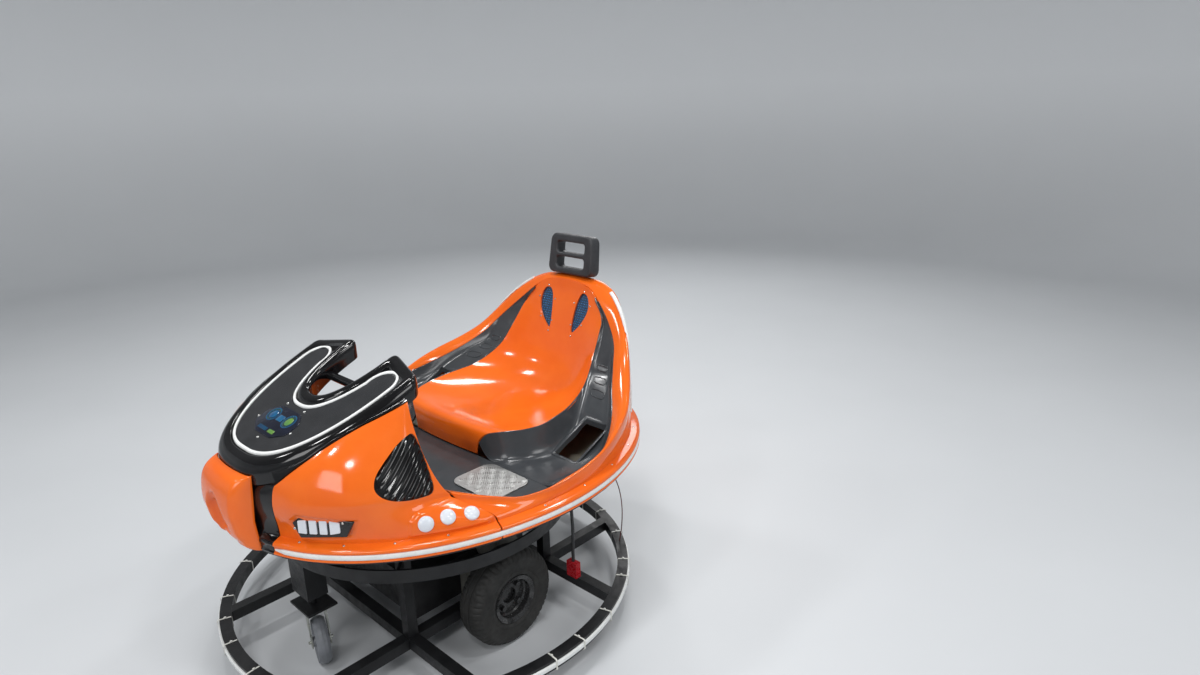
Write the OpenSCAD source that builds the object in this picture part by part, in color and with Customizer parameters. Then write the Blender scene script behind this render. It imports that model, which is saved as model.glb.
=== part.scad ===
// A round-based bumper car: a glass-fibre body on a steel hoop and ring chassis,
// driven by two wheels on one line and propped by a caster in front and one behind.
// X runs forward, Y to the driver's left and Z up, with the floor at Z = 0.

/* [Ring and base frame] */
// Outside radius of the bumper ring
ring_r = 579; // [540:1:600]
// Side of the square steel tube of the ring and base frame
tube_w = 30; // [25:1:35]
// Height of the ring's top face above the floor
ring_top = 90; // [80:1:100]
// Half distance between the two long beams
beam_y = 230; // [215:1:240]
// Half distance between the two cross beams
beam_x = 235; // [215:1:240]
// Thickness of the light strip on the ring
ring_strip_t = 5; // [4:1:8]
// Height of the light strip on the ring
ring_strip_h = 14; // [10:1:18]

/* [Hoop and masts] */
// Outside radius of the flat hoop under the body
hoop_r = 412; // [400:1:420]
// Height of the hoop's lower edge
hoop_z = 300; // [295:1:305]
// Height of the hoop's flat bar
hoop_h = 35; // [25:1:40]
// Thickness of the hoop's flat bar
hoop_t = 6; // [4:1:8]
// Length of a mast along the car
mast_l = 55; // [45:1:60]
// Width of a mast across the car
mast_w = 84; // [70:1:95]
// Height of a mast's foot
mast_foot = 188; // [184:1:195]
// Side of the four corner posts
post_w = 28; // [22:1:32]

/* [Drive wheels] */
// Radius of a drive tyre
tyre_r = 133; // [125:1:140]
// Width of a drive tyre
tyre_w = 86; // [75:1:90]
// Radius of the rim's outer flange
rim_r = 69; // [64:1:74]
// Distance of a tyre's outer face from the middle of the car
tyre_face_y = 376; // [370:1:390]
// Radius of the drive shaft
shaft_r = 10; // [8:1:12]
// Running clearance round a shaft or pin
run_gap = 0.05; // [0.02:0.01:0.1]

/* [Casters] */
// Radius of a caster wheel
caster_r = 62.5; // [55:0.5:64]
// Width of a caster wheel
caster_w = 32; // [26:1:36]
// Trail of a caster wheel behind its swivel axis
caster_trail = 40; // [32:1:44]
// Height of the caster's mounting plate
caster_plate_z = 148; // [146:1:155]
// Thickness of a caster fork's sheet
fork_t = 4; // [3:0.5:5]
// Radius of a caster's king pin
king_r = 6; // [5:0.5:8]
// Radius of a caster wheel's axle bolt
caster_pin_r = 4; // [3:0.5:5]

/* [Body shell] */
// Half width of the body at its flange
body_half_w = 510; // [500:1:520]
// Reach of the flange in front of the widest point
body_front = 620; // [610:1:630]
// Reach of the flange behind the widest point
body_rear = 600; // [590:1:610]
// Place of the widest point, behind the middle of the ring
body_mid = 100; // [90:1:110]
// Height of the flange's lower edge
flange_z = 415; // [410:1:420]
// Height of the flange's face
flange_h = 33; // [28:1:40]
// Width of the ledge on top of the flange
flange_ledge = 22; // [16:1:26]
// Thickness of the glass-fibre skins
skin_t = 5; // [4:0.5:6]
// Depth of the belly pan below the flange
belly_depth = 55; // [50:1:60]
// Height of the cockpit floor
floor_z = 450; // [446:1:456]
// Seam between panels
seam = 0.3; // [0.2:0.1:0.5]

/* [Console] */
// Width of the console across its arms
console_w = 488; // [470:1:500]
// Reach of the console's front tip
console_tip = 518; // [512:1:524]
// Outer rear end of the console's arms
console_rear = 165; // [160:1:170]
// Inner rear end of the console's arms
arm_inner_x = 124; // [118:1:130]
// Half width of the hand notch between the arms
notch_w = 88; // [80:1:94]
// Front end of the hand notch
notch_x = 290; // [270:1:300]
// Slope of the console's top face in degrees
console_slope = 22.4; // [20:0.1:25]
// Height of the top face at its front tip
console_z = 622; // [615:1:630]
// Radius of the grab bar
grab_r = 11; // [8:1:14]

/* [Nose block] */
// Half width of the nose block
nose_half_w = 92; // [80:1:100]

/* [Lights and lamps] */
// Height of the light strip on the flange
strip_h = 13; // [10:1:16]
// How far the light strips stand proud
strip_t = 5; // [3:1:6]
// Radius of a round side lamp
side_lamp_r = 18; // [14:1:19]

/* [Seat and headrest] */
// Width of the headrest at its foot
headrest_w = 196; // [180:1:206]
// Height of the headrest
headrest_h = 128; // [120:1:135]
// Thickness of the headrest
headrest_t = 42; // [34:1:50]
// Height of the headrest's foot
headrest_z = 847.5; // [846:0.5:850]
// Backward lean of the headrest in degrees
headrest_lean = 8; // [4:1:12]

/* [Hidden] */

$fn = 64;

// The body's tail and the ring's front decide where the middle of the footprint lies.
tail_reach = body_mid + body_rear + strip_t;
front_reach = ring_r + ring_strip_t;
ring_x = (tail_reach - front_reach) / 2;
ring_low = ring_top - tube_w;

// Points, curves and skins

function unit(v) = v / max(norm(v), 1e-9);
function mix(a, b, f) = a + (b - a) * f;
function smooth(f) = let (c = min(max(f, 0), 1)) c * c * (3 - 2 * c);
function flip(p) = [p.x, -p.y, p.z];
function bez(p, q, r, s, f) =
    let (g = 1 - f) g * g * g * p + 3 * g * g * f * q + 3 * g * f * f * r + f * f * f * s;

// A value read off a short table of rows by its first column.
function row_at(table, x, k = 0) =
    x <= table[0][0] ? table[0] :
    k >= len(table) - 1 ? table[len(table) - 1] :
    x <= table[k + 1][0]
        ? mix(table[k], table[k + 1], (x - table[k][0]) / (table[k + 1][0] - table[k][0]))
        : row_at(table, x, k + 1);

function normal_at(g, i, j) =
    let (
        r = len(g) - 1,
        c = len(g[0]) - 1,
        along = g[min(i + 1, r)][j] - g[max(i - 1, 0)][j],
        across = g[i][min(j + 1, c)] - g[i][max(j - 1, 0)]
    ) unit(cross(along, across));

function sunk(g, depth) =
    [for (i = [0 : len(g) - 1]) [for (j = [0 : len(g[0]) - 1]) g[i][j] - depth * normal_at(g, i, j)]];

// Two triangles over one cell of a grid of points, front side out.
function cell(a, b, c, d) = [[a, b, c], [a, c, d]];

// Ways in which a sheet's edge is cut: free, straight down, level, or along a plane of one x or y.
free = [1, 1, 1];
down = [0, 0, 1];
level = [1, 1, 0];
keep_x = [0, 1, 1];
keep_y = [1, 0, 1];

function masked(n, m) = unit([n.x * m.x, n.y * m.y, n.z * m.z]);

// The underside of a sheet, its rim cut as edges says for the first and last row and column.
function underside(g, depth, edges, inside) =
    let (r = len(g) - 1, c = len(g[0]) - 1)
    [for (i = [0 : r]) [for (j = [0 : c])
        let (
            n = normal_at(g, i, j),
            row = i == 0 ? edges[0] : i == r ? edges[1] : inside,
            col = j == 0 ? edges[2] : j == c ? edges[3] : free,
            both = [row.x * col.x, row.y * col.y, row.z * col.z],
            m = masked(n, norm(both) > 0 ? both : row),
            way = row == down || col == down && row != level ? down : norm(m) > 0.5 ? m : n
        )
        g[i][j] - way * depth / max(way * n, 0.4)]];

// A sheet of the given thickness under a grid of surface points.
module skin(grid, depth, edges, inside = free) {
    rows = len(grid);
    cols = len(grid[0]);
    under = underside(grid, depth, edges, inside);
    top = [for (row = grid) for (p = row) p];
    low = [for (row = under) for (p = row) p];
    n = rows * cols;
    faces = concat(
        [for (i = [0 : rows - 2]) for (j = [0 : cols - 2])
            each cell(i * cols + j, i * cols + j + 1, (i + 1) * cols + j + 1, (i + 1) * cols + j)],
        [for (i = [0 : rows - 2]) for (j = [0 : cols - 2])
            each cell(n + i * cols + j, n + (i + 1) * cols + j,
                n + (i + 1) * cols + j + 1, n + i * cols + j + 1)],
        [for (i = [0 : rows - 2])
            each cell(i * cols, (i + 1) * cols, n + (i + 1) * cols, n + i * cols)],
        [for (i = [0 : rows - 2]) let (e = cols - 1)
            each cell(i * cols + e, n + i * cols + e, n + (i + 1) * cols + e, (i + 1) * cols + e)],
        [for (j = [0 : cols - 2]) each cell(j, n + j, n + j + 1, j + 1)],
        [for (j = [0 : cols - 2]) let (e = (rows - 1) * cols)
            each cell(e + j, e + j + 1, n + e + j + 1, n + e + j)]
    );
    polyhedron(points = concat(top, low), faces = faces, convexity = 8);
}

// A solid through closed rings of points, with a flat end on the first and the last.
module loft(rings) {
    rows = len(rings);
    cols = len(rings[0]);
    faces = concat(
        [for (i = [0 : rows - 2]) for (j = [0 : cols - 1]) let (k = (j + 1) % cols)
            each cell(i * cols + j, i * cols + k, (i + 1) * cols + k, (i + 1) * cols + j)],
        [[for (j = [0 : cols - 1]) cols - 1 - j]],
        [[for (j = [0 : cols - 1]) (rows - 1) * cols + j]]
    );
    polyhedron(points = [for (ring = rings) for (p = ring) p], faces = faces, convexity = 8);
}

// A round cord swept along its route.
module cord(route, radius, sides) {
    last = len(route) - 1;
    rings = [for (i = [0 : last])
        let (
            t = unit(route[min(i + 1, last)] - route[max(i - 1, 0)]),
            s = unit(cross(t, [0.31, 0.87, 0.39])),
            b = cross(t, s)
        )
        [for (k = [0 : sides - 1]) let (a = -360 * k / sides) route[i] + radius * (cos(a) * s + sin(a) * b)]
    ];
    loft(rings);
}

module at_ring() {
    translate([ring_x, 0, 0])
        children();
}

module both_sides() {
    children();
    mirror([0, 1, 0])
        children();
}

// Ring and base frame

module ring() {
    color("black")
        at_ring()
            rotate_extrude($fn = 180)
                translate([ring_r - tube_w, ring_low])
                    square(tube_w);
}

module ring_light() {
    color("white")
        at_ring()
            rotate_extrude($fn = 180)
                translate([ring_r, ring_top - tube_w / 2 - ring_strip_h / 2])
                    square([ring_strip_t, ring_strip_h]);
}

// One beam of the base frame, cut to meet the inside of the ring.
module base_beam(offset_y) {
    linear_extrude(tube_w)
        intersection() {
            circle(r = ring_r - tube_w - seam, $fn = 180);
            translate([-ring_r, offset_y - tube_w / 2])
                square([2 * ring_r, tube_w]);
        }
}

module base_frame() {
    color("black")
        at_ring()
            translate([0, 0, ring_low])
                for (side = [-1, 1]) {
                    base_beam(side * beam_y);
                    rotate(90)
                        base_beam(side * beam_x);
                }
}

// Four posts at the crossings of the beams carry the belly pan.
module corner_posts() {
    color("black")
        at_ring()
            for (sx = [-1, 1], sy = [-1, 1]) {
                head = belly_at(sx * (beam_x - post_w / 2), beam_y - post_w / 2) - seam;
                translate([sx * beam_x - post_w / 2, sy * beam_y - post_w / 2, ring_top])
                    cube([post_w, post_w, head - ring_top]);
            }
}

// Hoop, upper frame and masts

module hoop() {
    color("black")
        at_ring()
            rotate_extrude($fn = 180)
                translate([hoop_r - hoop_t, hoop_z])
                    square([hoop_t, hoop_h]);
}

spoke_h = 25;
mast_x = sqrt(pow(hoop_r - hoop_t, 2) - pow(mast_w / 2, 2)) - seam - mast_l / 2;
caster_inset = 40;
caster_x = hoop_r - caster_inset;

module upper_frame() {
    spoke_in = norm([beam_x, beam_y]) + post_w * 0.75;
    spoke_out = hoop_r - hoop_t - seam;
    spoke_t = 8;
    cross_w = 25;
    spine_w = 40;
    color("black")
        at_ring()
            translate([0, 0, hoop_z]) {
                for (sx = [-1, 1])
                    translate([sx * beam_x - cross_w / 2, -beam_y + post_w / 2 + seam, 0])
                        cube([cross_w, 2 * (beam_y - post_w / 2 - seam), spoke_h]);
                translate([-mast_x + mast_l / 2 + seam, -spine_w / 2, 0])
                    cube([2 * (mast_x - mast_l / 2 - seam), spine_w, spoke_h]);
                for (a = [45, 135, 225, 315])
                    rotate(a)
                        translate([spoke_in, -spoke_t / 2, 0])
                            cube([spoke_out - spoke_in, spoke_t, spoke_h]);
            }
}

stem_r = 8;
stem_plate_w = 100;
stem_plate_l = 80;
stem_plate_t = 6;

// A mast with its threaded stem and the square plate that carries a caster.
module mast(sign) {
    head = belly_at(sign * (mast_x - mast_l / 2)) - seam;
    color("black")
        at_ring() {
            translate([sign * mast_x - mast_l / 2, -mast_w / 2, mast_foot])
                cube([mast_l, mast_w, head - mast_foot]);
            translate([sign * caster_x, 0, caster_plate_z]) {
                translate([-stem_plate_l / 2, -stem_plate_w / 2])
                    cube([stem_plate_l, stem_plate_w, stem_plate_t]);
                translate([0, 0, stem_plate_t])
                    cylinder(r = stem_r, h = mast_foot - caster_plate_z - stem_plate_t);
                translate([0, 0, -king_boss_h])
                    cylinder(r = king_boss_r, h = king_boss_h);
            }
            translate([sign * caster_x, 0, crown_low - king_head_h])
                cylinder(r = king_r, h = caster_plate_z - crown_low + king_head_h);
        }
}

module front_mast() mast(1);
module rear_mast() mast(-1);

// Battery box, controller and drive motors

battery_l = 380;
battery_w = 380;
battery_top = 205;

module battery_box() {
    color("black")
        at_ring()
            translate([-battery_l / 2, -battery_w / 2, ring_top])
                cube([battery_l, battery_w, battery_top - ring_top]);
}

module controller() {
    color("dimgray")
        at_ring()
            translate([-110, -85, battery_top])
                cube([220, 170, hoop_z - battery_top - seam]);
}

motor_r = 46;
motor_x = -62;
motor_z = 210;
motor_out = 268;
gear_in = battery_w / 2 + 5;
gear_out = 280;
gear_half_l = 45;
gear_top = 185;

// A gear case bolted on the long beam, with the motor lying over it.
module motor_side() {
    at_ring()
        difference() {
            union() {
                translate([-gear_half_l, gear_in, ring_top + seam])
                    cube([2 * gear_half_l, gear_out - gear_in, gear_top - ring_top - seam]);
                translate([motor_x, motor_out, motor_z])
                    rotate([90, 0, 0])
                        cylinder(r = motor_r, h = motor_out - gear_in);
            }
            translate([0, gear_out + 10, tyre_r])
                rotate([90, 0, 0])
                    cylinder(r = shaft_r + run_gap, h = gear_out - gear_in + 20);
        }
}

module motor_left() color("dimgray") motor_side();
module motor_right() color("dimgray") mirror([0, 1, 0]) motor_side();

// Drive wheels

tyre_mid_y = tyre_face_y - tyre_w / 2;
bead_r = rim_r - 7;

module tyre_side() {
    side_r = 26;
    crown_r = tyre_r - side_r;
    at_ring()
        translate([0, tyre_mid_y, tyre_r])
            rotate([90, 0, 0])
                rotate_extrude($fn = 96)
                    polygon([
                        [bead_r + seam, -tyre_w / 2 + 12],
                        [bead_r + 12, -tyre_w / 2],
                        each [for (a = [-90 : 15 : 0])
                            [crown_r + side_r * cos(a), -tyre_w / 2 + side_r + side_r * sin(a)]],
                        each [for (a = [0 : 15 : 90])
                            [crown_r + side_r * cos(a), tyre_w / 2 - side_r + side_r * sin(a)]],
                        [bead_r + 12, tyre_w / 2],
                        [bead_r + seam, tyre_w / 2 - 12]
                    ]);
}

// The rim is a pressed dish between two flanges, with a hub on the drive shaft.
module rim_side() {
    half = tyre_w / 2 - 10;
    at_ring()
        translate([0, tyre_mid_y, tyre_r])
            rotate([-90, 0, 0]) {
                rotate_extrude($fn = 96)
                    polygon([
                        [0, 4], [22, 4], [22, 14], [50, 14], [54, 18], [54, half + 2],
                        [bead_r + 4, half + 8], [bead_r + 5, half + 6], [bead_r, half - 1],
                        [bead_r, -half + 1], [bead_r + 5, -half - 6], [bead_r + 4, -half - 8],
                        [54, -half - 2], [54, 10], [50, 8], [22, 8], [22, -half], [0, -half]
                    ]);
                translate([0, 0, gear_in + 30 - tyre_mid_y])
                    cylinder(r = shaft_r, h = tyre_mid_y - gear_in - 30);
                for (k = [0 : 3])
                    rotate(45 + 90 * k)
                        translate([36, 0, 13])
                            cylinder(r = 7, h = 10, $fn = 24);
            }
}

module tyre_left() color("dimgray") tyre_side();
module tyre_right() color("dimgray") mirror([0, 1, 0]) tyre_side();
module rim_left() color("black") rim_side();
module rim_right() color("black") mirror([0, 1, 0]) rim_side();

// Casters

king_boss_h = 5;
king_boss_r = 16;
king_head_h = 4;
crown_low = caster_plate_z - king_boss_h - seam - fork_t;
fork_gap = caster_w / 2 + 5;
front_caster_turn = 72;
rear_caster_turn = 158;

// A fork with its crown, two tapering legs and the axle bolt.
module fork(sign, turn) {
    leg_foot = 14;
    color("silver")
        at_ring()
            translate([sign * caster_x, 0, 0])
                rotate(turn) {
                    difference() {
                        translate([-32, -fork_gap - fork_t, crown_low])
                            cube([64, 2 * (fork_gap + fork_t), fork_t]);
                        translate([0, 0, crown_low - 1])
                            cylinder(r = king_r + run_gap, h = fork_t + 2);
                    }
                    for (s = [-1, 1])
                        translate([0, s * (fork_gap + fork_t / 2) + fork_t / 2, 0])
                            rotate([90, 0, 0])
                                linear_extrude(fork_t)
                                    polygon([
                                        [-32, crown_low], [32, crown_low],
                                        [caster_trail + leg_foot, caster_r],
                                        [caster_trail + 10, caster_r - leg_foot],
                                        [caster_trail - 10, caster_r - leg_foot],
                                        [caster_trail - leg_foot, caster_r + 6]
                                    ]);
                    translate([caster_trail, fork_gap + fork_t + 6, caster_r])
                        rotate([90, 0, 0])
                            cylinder(r = caster_pin_r, h = 2 * (fork_gap + fork_t + 6));
                }
}

module caster_wheel(sign, turn) {
    edge = 7;
    hub_half = fork_gap - seam;
    half = caster_w / 2;
    color("gray")
        at_ring()
            translate([sign * caster_x, 0, 0])
                rotate(turn)
                    translate([caster_trail, 0, caster_r])
                        rotate([90, 0, 0])
                            rotate_extrude($fn = 72)
                                polygon([
                                    [caster_pin_r + run_gap, -hub_half], [12, -hub_half],
                                    [14, -half + 6], [caster_r - 18, -half + 6],
                                    [caster_r - 14, -half], [caster_r - edge, -half],
                                    [caster_r - 2, -half + edge], [caster_r, 0],
                                    [caster_r - 2, half - edge], [caster_r - edge, half],
                                    [caster_r - 14, half], [caster_r - 18, half - 6],
                                    [14, half - 6], [12, hub_half],
                                    [caster_pin_r + run_gap, hub_half]
                                ]);
}

module front_fork() fork(1, front_caster_turn);
module rear_fork() fork(-1, rear_caster_turn);
module front_caster_wheel() caster_wheel(1, front_caster_turn);
module rear_caster_wheel() caster_wheel(-1, rear_caster_turn);

// Body outline

// The body's tables are written for these sizes and follow the driving sizes from them.
table_half_w = 510;
table_front = 620;
table_rear = 600;
table_mid = 100;
table_flange = 415;

function place(x, y, z) = [
    ring_x - body_mid + (x + table_mid) * (x > -table_mid ? body_front / table_front : body_rear / table_rear),
    y * body_half_w / table_half_w,
    z + flange_z - table_flange
];

// A point of the flange at an eccentric angle, moved inward by inset.
function flange(t, inset, z) =
    let (
        reach = cos(t) > 0 ? body_front : body_rear,
        out = unit([cos(t) / reach, sin(t) / body_half_w])
    )
    [ring_x - body_mid + reach * cos(t) - inset * out.x, body_half_w * sin(t) - inset * out.y, z];

lip_round = 6;
lip_rise = 4;

function lip(t) = [
    flange(t, 0, flange_z),
    flange(t, 0, flange_z + flange_h - lip_round),
    flange(t, lip_round, flange_z + flange_h),
    flange(t, flange_ledge, flange_z + flange_h + lip_rise)
];

wall_steps = 5;
crown_steps = 4;

// Section of a shell from the flange's lower edge over its shoulder to its inner edge.
function shell_section(t, shoulder, edge, bulge, bow = 0) =
    let (
        foot = flange(t, flange_ledge, flange_z + flange_h + lip_rise),
        rise = (shoulder.z - foot.z) * 0.45,
        cover = edge - shoulder,
        swell = [bow, 0, bulge]
    )
    concat(
        lip(t),
        [for (k = [1 : wall_steps])
            bez(foot, foot + [0, 0, rise], shoulder - [0, 0, rise], shoulder, k / wall_steps)],
        [for (k = [1 : crown_steps])
            bez(shoulder, shoulder + swell + cover * 0.12, edge - cover * 0.4 + swell, edge,
                k / crown_steps)]
    );

// Columns: flange angle, shoulder x y z, inner edge x, gap to the console, depth below its top,
// bulge of the crown, its bow to the front.
hood_rows = [
    [15.0, 490, 139, 540, 478, 11, 51, 20, 0],
    [22, 470, 197, 545, 452, 6, 36, 26, 0],
    [30, 437, 250, 550, 412, 4, 22, 30, 0],
    [38, 394, 298, 552, 366, 4, 14, 30, 0],
    [46, 340, 332, 552, 308, 6, 14, 26, 0],
    [54, 284, 352, 546, 254, 12, 20, 22, 6],
    [62, 226, 362, 530, 214, 18, 24, 16, 16],
    [69.6, 168, 362, 514, 193, 18, 27, 8, 28]
];

function hood_edge(row) =
    [row[4] + ring_x, console_edge_y(row[4]) + row[5], console_top(row[4]) - row[6]];

hood_mesh = [for (row = hood_rows)
    shell_section(row[0], place(row[1], row[2], row[3]), hood_edge(row), row[7], row[8])];

// Columns: flange angle, shoulder x y z, inner edge x y z, bulge of the crown.
rear_rows = [
    [69.9, 164, 364, 513, 150, 316, 501, 4],
    [72, 124, 402, 503, 112, 362, 490, 4],
    [74.5, 84, 434, 495, 76, 404, 480, 4],
    [77.5, 42, 460, 486, 42, 440, 473, 4],
    [82, -20, 476, 482, -20, 458, 470, 4],
    [90, -100, 482, 484, -110, 458, 472, 5],
    [98, -184, 480, 492, -190, 462, 482, 6],
    [106, -265, 474, 512, -262, 458, 503, 8],
    [112, -325, 462, 540, -318, 430, 525, 12],
    [118, -385, 438, 567, -372, 392, 552, 14],
    [125, -445, 396, 597, -428, 342, 590, 16],
    [133, -505, 345, 640, -485, 296, 635, 18],
    [141, -557, 292, 705, -532, 258, 688, 18],
    [149, -597, 240, 766, -565, 205, 742, 18],
    [157, -628, 185, 808, -585, 150, 790, 16],
    [165, -645, 125, 830, -597, 105, 820, 14],
    [173, -652, 60, 836, -602, 55, 832, 12],
    [180, -654, 0, 838, -604, 0, 836, 12]
];

rear_edge = [for (row = rear_rows) place(row[4], row[5], row[6])];
rear_mesh = [for (i = [0 : len(rear_rows) - 1])
    let (row = rear_rows[i])
    shell_section(row[0], place(row[1], row[2], row[3]), rear_edge[i], row[7])];

// A point on a line of points at a place counted in its points.
function along(line, u) =
    let (i = min(floor(u), len(line) - 2))
    mix(line[i], line[i + 1], u - i);

module rear_shell() {
    last = len(rear_mesh) - 1;
    right = [for (i = [1 : last]) [for (p = rear_mesh[last - i]) flip(p)]];
    color("orangered")
        skin(concat(rear_mesh, right), skin_t, [free, free, free, down]);
}

// A hood with its openings for the grille, the headlamp and the side lamps.
module hood_side() {
    difference() {
        skin(hood_mesh, skin_t, [keep_y, free, free, down]);
        grille_prism(seam, -20, 20);
        headlamp_prism(seam, -headlamp_depth - seam, 20);
        for (k = side_lamp_spots)
            side_lamp_rod(k, side_lamp_r + seam, -20, 20);
    }
}

module hood_left() color("orangered") hood_side();
module hood_right() color("orangered") mirror([0, 1, 0]) hood_side();

// Dark front panel, bands beside the console and nose block

// Profile of the front in the middle plane, level by level with the hood's own section.
front_profile = [
    [520, 415], [523, 442], [524, 450], [525, 458], [527, 474], [528, 492],
    [527, 510], [524, 526], [520, 538], [512, 552], [500, 560], [480, 564], [456, 566]
];
nose_places = [0, 0.24, 0.46, 0.54, 0.66, 0.85, 0.95, 1];

// A point of the front at a level and a distance from the middle, level with the hood at its side.
function front_at(k, y) =
    let (
        mid = front_profile[k],
        c = place(mid[0], 0, mid[1]),
        e = hood_mesh[0][k],
        f = pow(y / e.y, 2)
    )
    [mix(c.x, e.x, f), y, mix(c.z, e.z, f)];

function front_column(y_of_level) =
    [for (k = [0 : len(front_profile) - 1]) front_at(k, y_of_level[k])];

front_half = concat(
    [for (f = nose_places) front_column([for (row = front_profile) f * nose_half_w])],
    [for (f = [0.5, 1]) front_column([for (p = hood_mesh[0]) mix(nose_half_w, p.y - seam, f)])]
);

module front_panel() {
    last = len(front_half) - 1;
    right = [for (i = [0 : last - 1]) [for (p = front_half[last - i]) flip(p)]];
    color("#181818")
        skin(concat(right, front_half), skin_t, [keep_y, keep_y, free, free]);
}

// The band fills the strip between the painted hood and the side of the console.
band_t = 3;

function band_ring(row) =
    let (
        edge = hood_edge(row) + [0, -seam, band_t + seam],
        inner = [edge.x, console_edge_y(row[4]) + seam, max(console_top(row[4]) - 22, edge.z)],
        top = [edge, mix(edge, inner, 0.3) + [0, 0, 2], mix(edge, inner, 0.7) + [0, 0, 2], inner]
    )
    concat(top, [for (i = [3 : -1 : 0]) top[i] - [0, 0, band_t]]);

module hood_bands() {
    color("#181818")
        both_sides()
            loft([for (row = hood_rows) band_ring(row)]);
}

// Columns: level of the front profile, reach beyond it, depth of the scoop, half width of the scoop.
nose_rows = [
    [0, 12, 0, 0], [1, 27, 0, 0], [2, 31, 3, 40], [3, 33, 14, 42], [4, 35, 17, 44], [5, 37, 18, 45],
    [6, 41, 20, 46], [7, 44, 22, 44], [8, 47, 18, 36], [9, 53, 8, 22], [10, 64, 0, 0]
];

// Top of the nose block: reach beyond the console's tip and height.
nose_top = [[43, 574], [38, 588], [28, 598], [12, 603], [0, 601], [0, 562]];

function nose_ring(f) =
    let (
        y = f * nose_half_w,
        side = abs(f),
        round = side > 0.99 ? 0.45 : side > 0.94 ? 0.8 : side > 0.8 ? 0.95 : 1,
        base = [for (row = nose_rows) front_at(row[0], y)],
        front = [for (i = [0 : len(nose_rows) - 1])
            let (cup = side * nose_half_w < nose_rows[i][3] ? nose_rows[i][2] : 0)
            base[i] + [(nose_rows[i][1] - cup) * round, 0, 0]],
        sweep = front_at(0, 0).x - base[0].x,
        tip = console_tip + ring_x + seam - sweep,
        top = [for (p = nose_top) [tip + p[0] * round, y, place(0, 0, p[1]).z]],
        back = [for (i = [len(nose_rows) - 1 : -1 : 0]) base[i] + [seam, 0, 0]]
    )
    concat(front, top, back);

module nose_block() {
    stations = concat([for (i = [len(nose_places) - 1 : -1 : 1]) -nose_places[i]], nose_places);
    color("orangered")
        loft([for (f = stations) nose_ring(-f)]);
}

// Console

function console_top(x) = console_z + (console_tip - x) * tan(console_slope);
function console_edge_y(x) =
    let (u = min(max((x - console_rear) / (console_tip - console_rear), 0), 1))
    console_w / 2 * pow(1 - u * u, 1 / 2.6);

// Plan points of the console's outer edge and of its notch at an angle round the horseshoe.
function console_outer(a) =
    [console_rear + (console_tip - console_rear) * cos(a), console_w / 2 * pow(sin(a), 1 / 1.3)];
function console_inner(a) =
    [arm_inner_x + (notch_x - arm_inner_x) * cos(a), notch_w * pow(sin(a), 1 / 1.3)];

// The stations beside the hood lie on its rows, so that both edges have the same corners.
console_angles = concat(
    [0, 6, 12, 18, 23],
    [for (row = hood_rows)
        acos(min(max((row[4] - console_rear) / (console_tip - console_rear), 0.01), 0.99))],
    [90]
);

// Columns: inset from the edge, height above the top plane, from the outer side to the notch.
console_rim = [[0, -48], [0, -22], [4, -9], [13, -1], [26, 0], [33, -2], [35, -6]];
notch_rim = [[33, -6], [30, 2], [16, 5], [5, -1], [0, -15], [0, -48]];

// Columns: how far back of the last station, how far tucked in, how far lowered.
arm_ends = [[8, 2, 1], [16, 8, 5], [21, 20, 14]];

function console_section(a, back = 0, tuck = 0, drop = 0) =
    let (
        o = console_outer(a) - [back, 0],
        i = console_inner(a) - [back, 0],
        across = unit(o - i),
        side = [for (p = console_rim) let (q = o - across * (p[0] + tuck * (1 - p[0] / 60)))
            [q.x + ring_x, q.y, console_top(q.x) + p[1] - (p[1] > -40 ? drop : 0)]],
        notch = [for (p = notch_rim) let (q = i + across * (p[0] + tuck * (1 - p[0] / 60)))
            [q.x + ring_x, q.y, console_top(q.x) + p[1] - (p[1] > -40 ? drop : 0)]]
    )
    concat(side, notch);

module console() {
    last = len(console_angles) - 1;
    half = concat(
        [for (a = console_angles) console_section(a)],
        [for (e = arm_ends) console_section(90, e[0], e[1], e[2])]
    );
    all = concat(
        [for (i = [len(half) - 1 : -1 : 0]) half[i]],
        [for (i = [1 : len(half) - 1]) [for (p = half[i]) flip(p)]]
    );
    color("#151515")
        loft(all);
}

// Line inside the console's top face: along the outer rim, round the arm's end and back along the notch.
line_outer = [0.3, 8, 16, 24, 33, 42, 52, 62, 72, 82];
line_inner = [68, 56, 44, 32, 20, 10, 0.01];
line_inset = 41;

function console_line(inset) =
    let (
        rim = [for (a = line_outer)
            let (o = console_outer(a), i = console_inner(a)) o - unit(o - i) * inset],
        notch = [for (a = line_inner)
            let (o = console_outer(a), i = console_inner(a)) i + unit(o - i) * (inset - 1)],
        from = rim[len(rim) - 1],
        to = notch[0],
        mid = (from + to) / 2,
        arm = (from - to) / 2,
        rear = [-abs(arm.y), arm.x],
        turn = [for (t = [22.5 : 22.5 : 157.5]) mid + arm * cos(t) + rear * sin(t)]
    )
    concat(rim, turn, notch);

module console_lights() {
    half = console_line(line_inset);
    path = concat(half, [for (i = [len(half) - 2 : -1 : 0]) [half[i].x, -half[i].y]]);
    last = len(path) - 1;
    color("white")
        loft([for (i = [0 : last])
            let (
                t = unit(path[min(i + 1, last)] - path[max(i - 1, 0)]),
                n = [-t.y, t.x]
            )
            [for (c = [[-3.5, 0], [-3.5, 5], [3.5, 5], [3.5, 0]])
                let (p = path[i] + n * c[0])
                [p.x + ring_x, p.y, console_top(p.x) - 6 + seam + c[1]]]]);
}

// The grey face fills the space inside the line of light.
module console_face() {
    face_t = 2;
    half = console_line(line_inset + 6);
    outline = concat(half, [for (i = [len(half) - 2 : -1 : 1]) [half[i].x, -half[i].y]]);
    color("#333333")
        translate([ring_x, 0, 0])
            multmatrix([
                [1, 0, 0, 0], [0, 1, 0, 0],
                [-tan(console_slope), 0, 1, console_top(0) - 6 + seam], [0, 0, 0, 1]
            ])
                linear_extrude(face_t)
                    polygon(outline);
}

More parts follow.
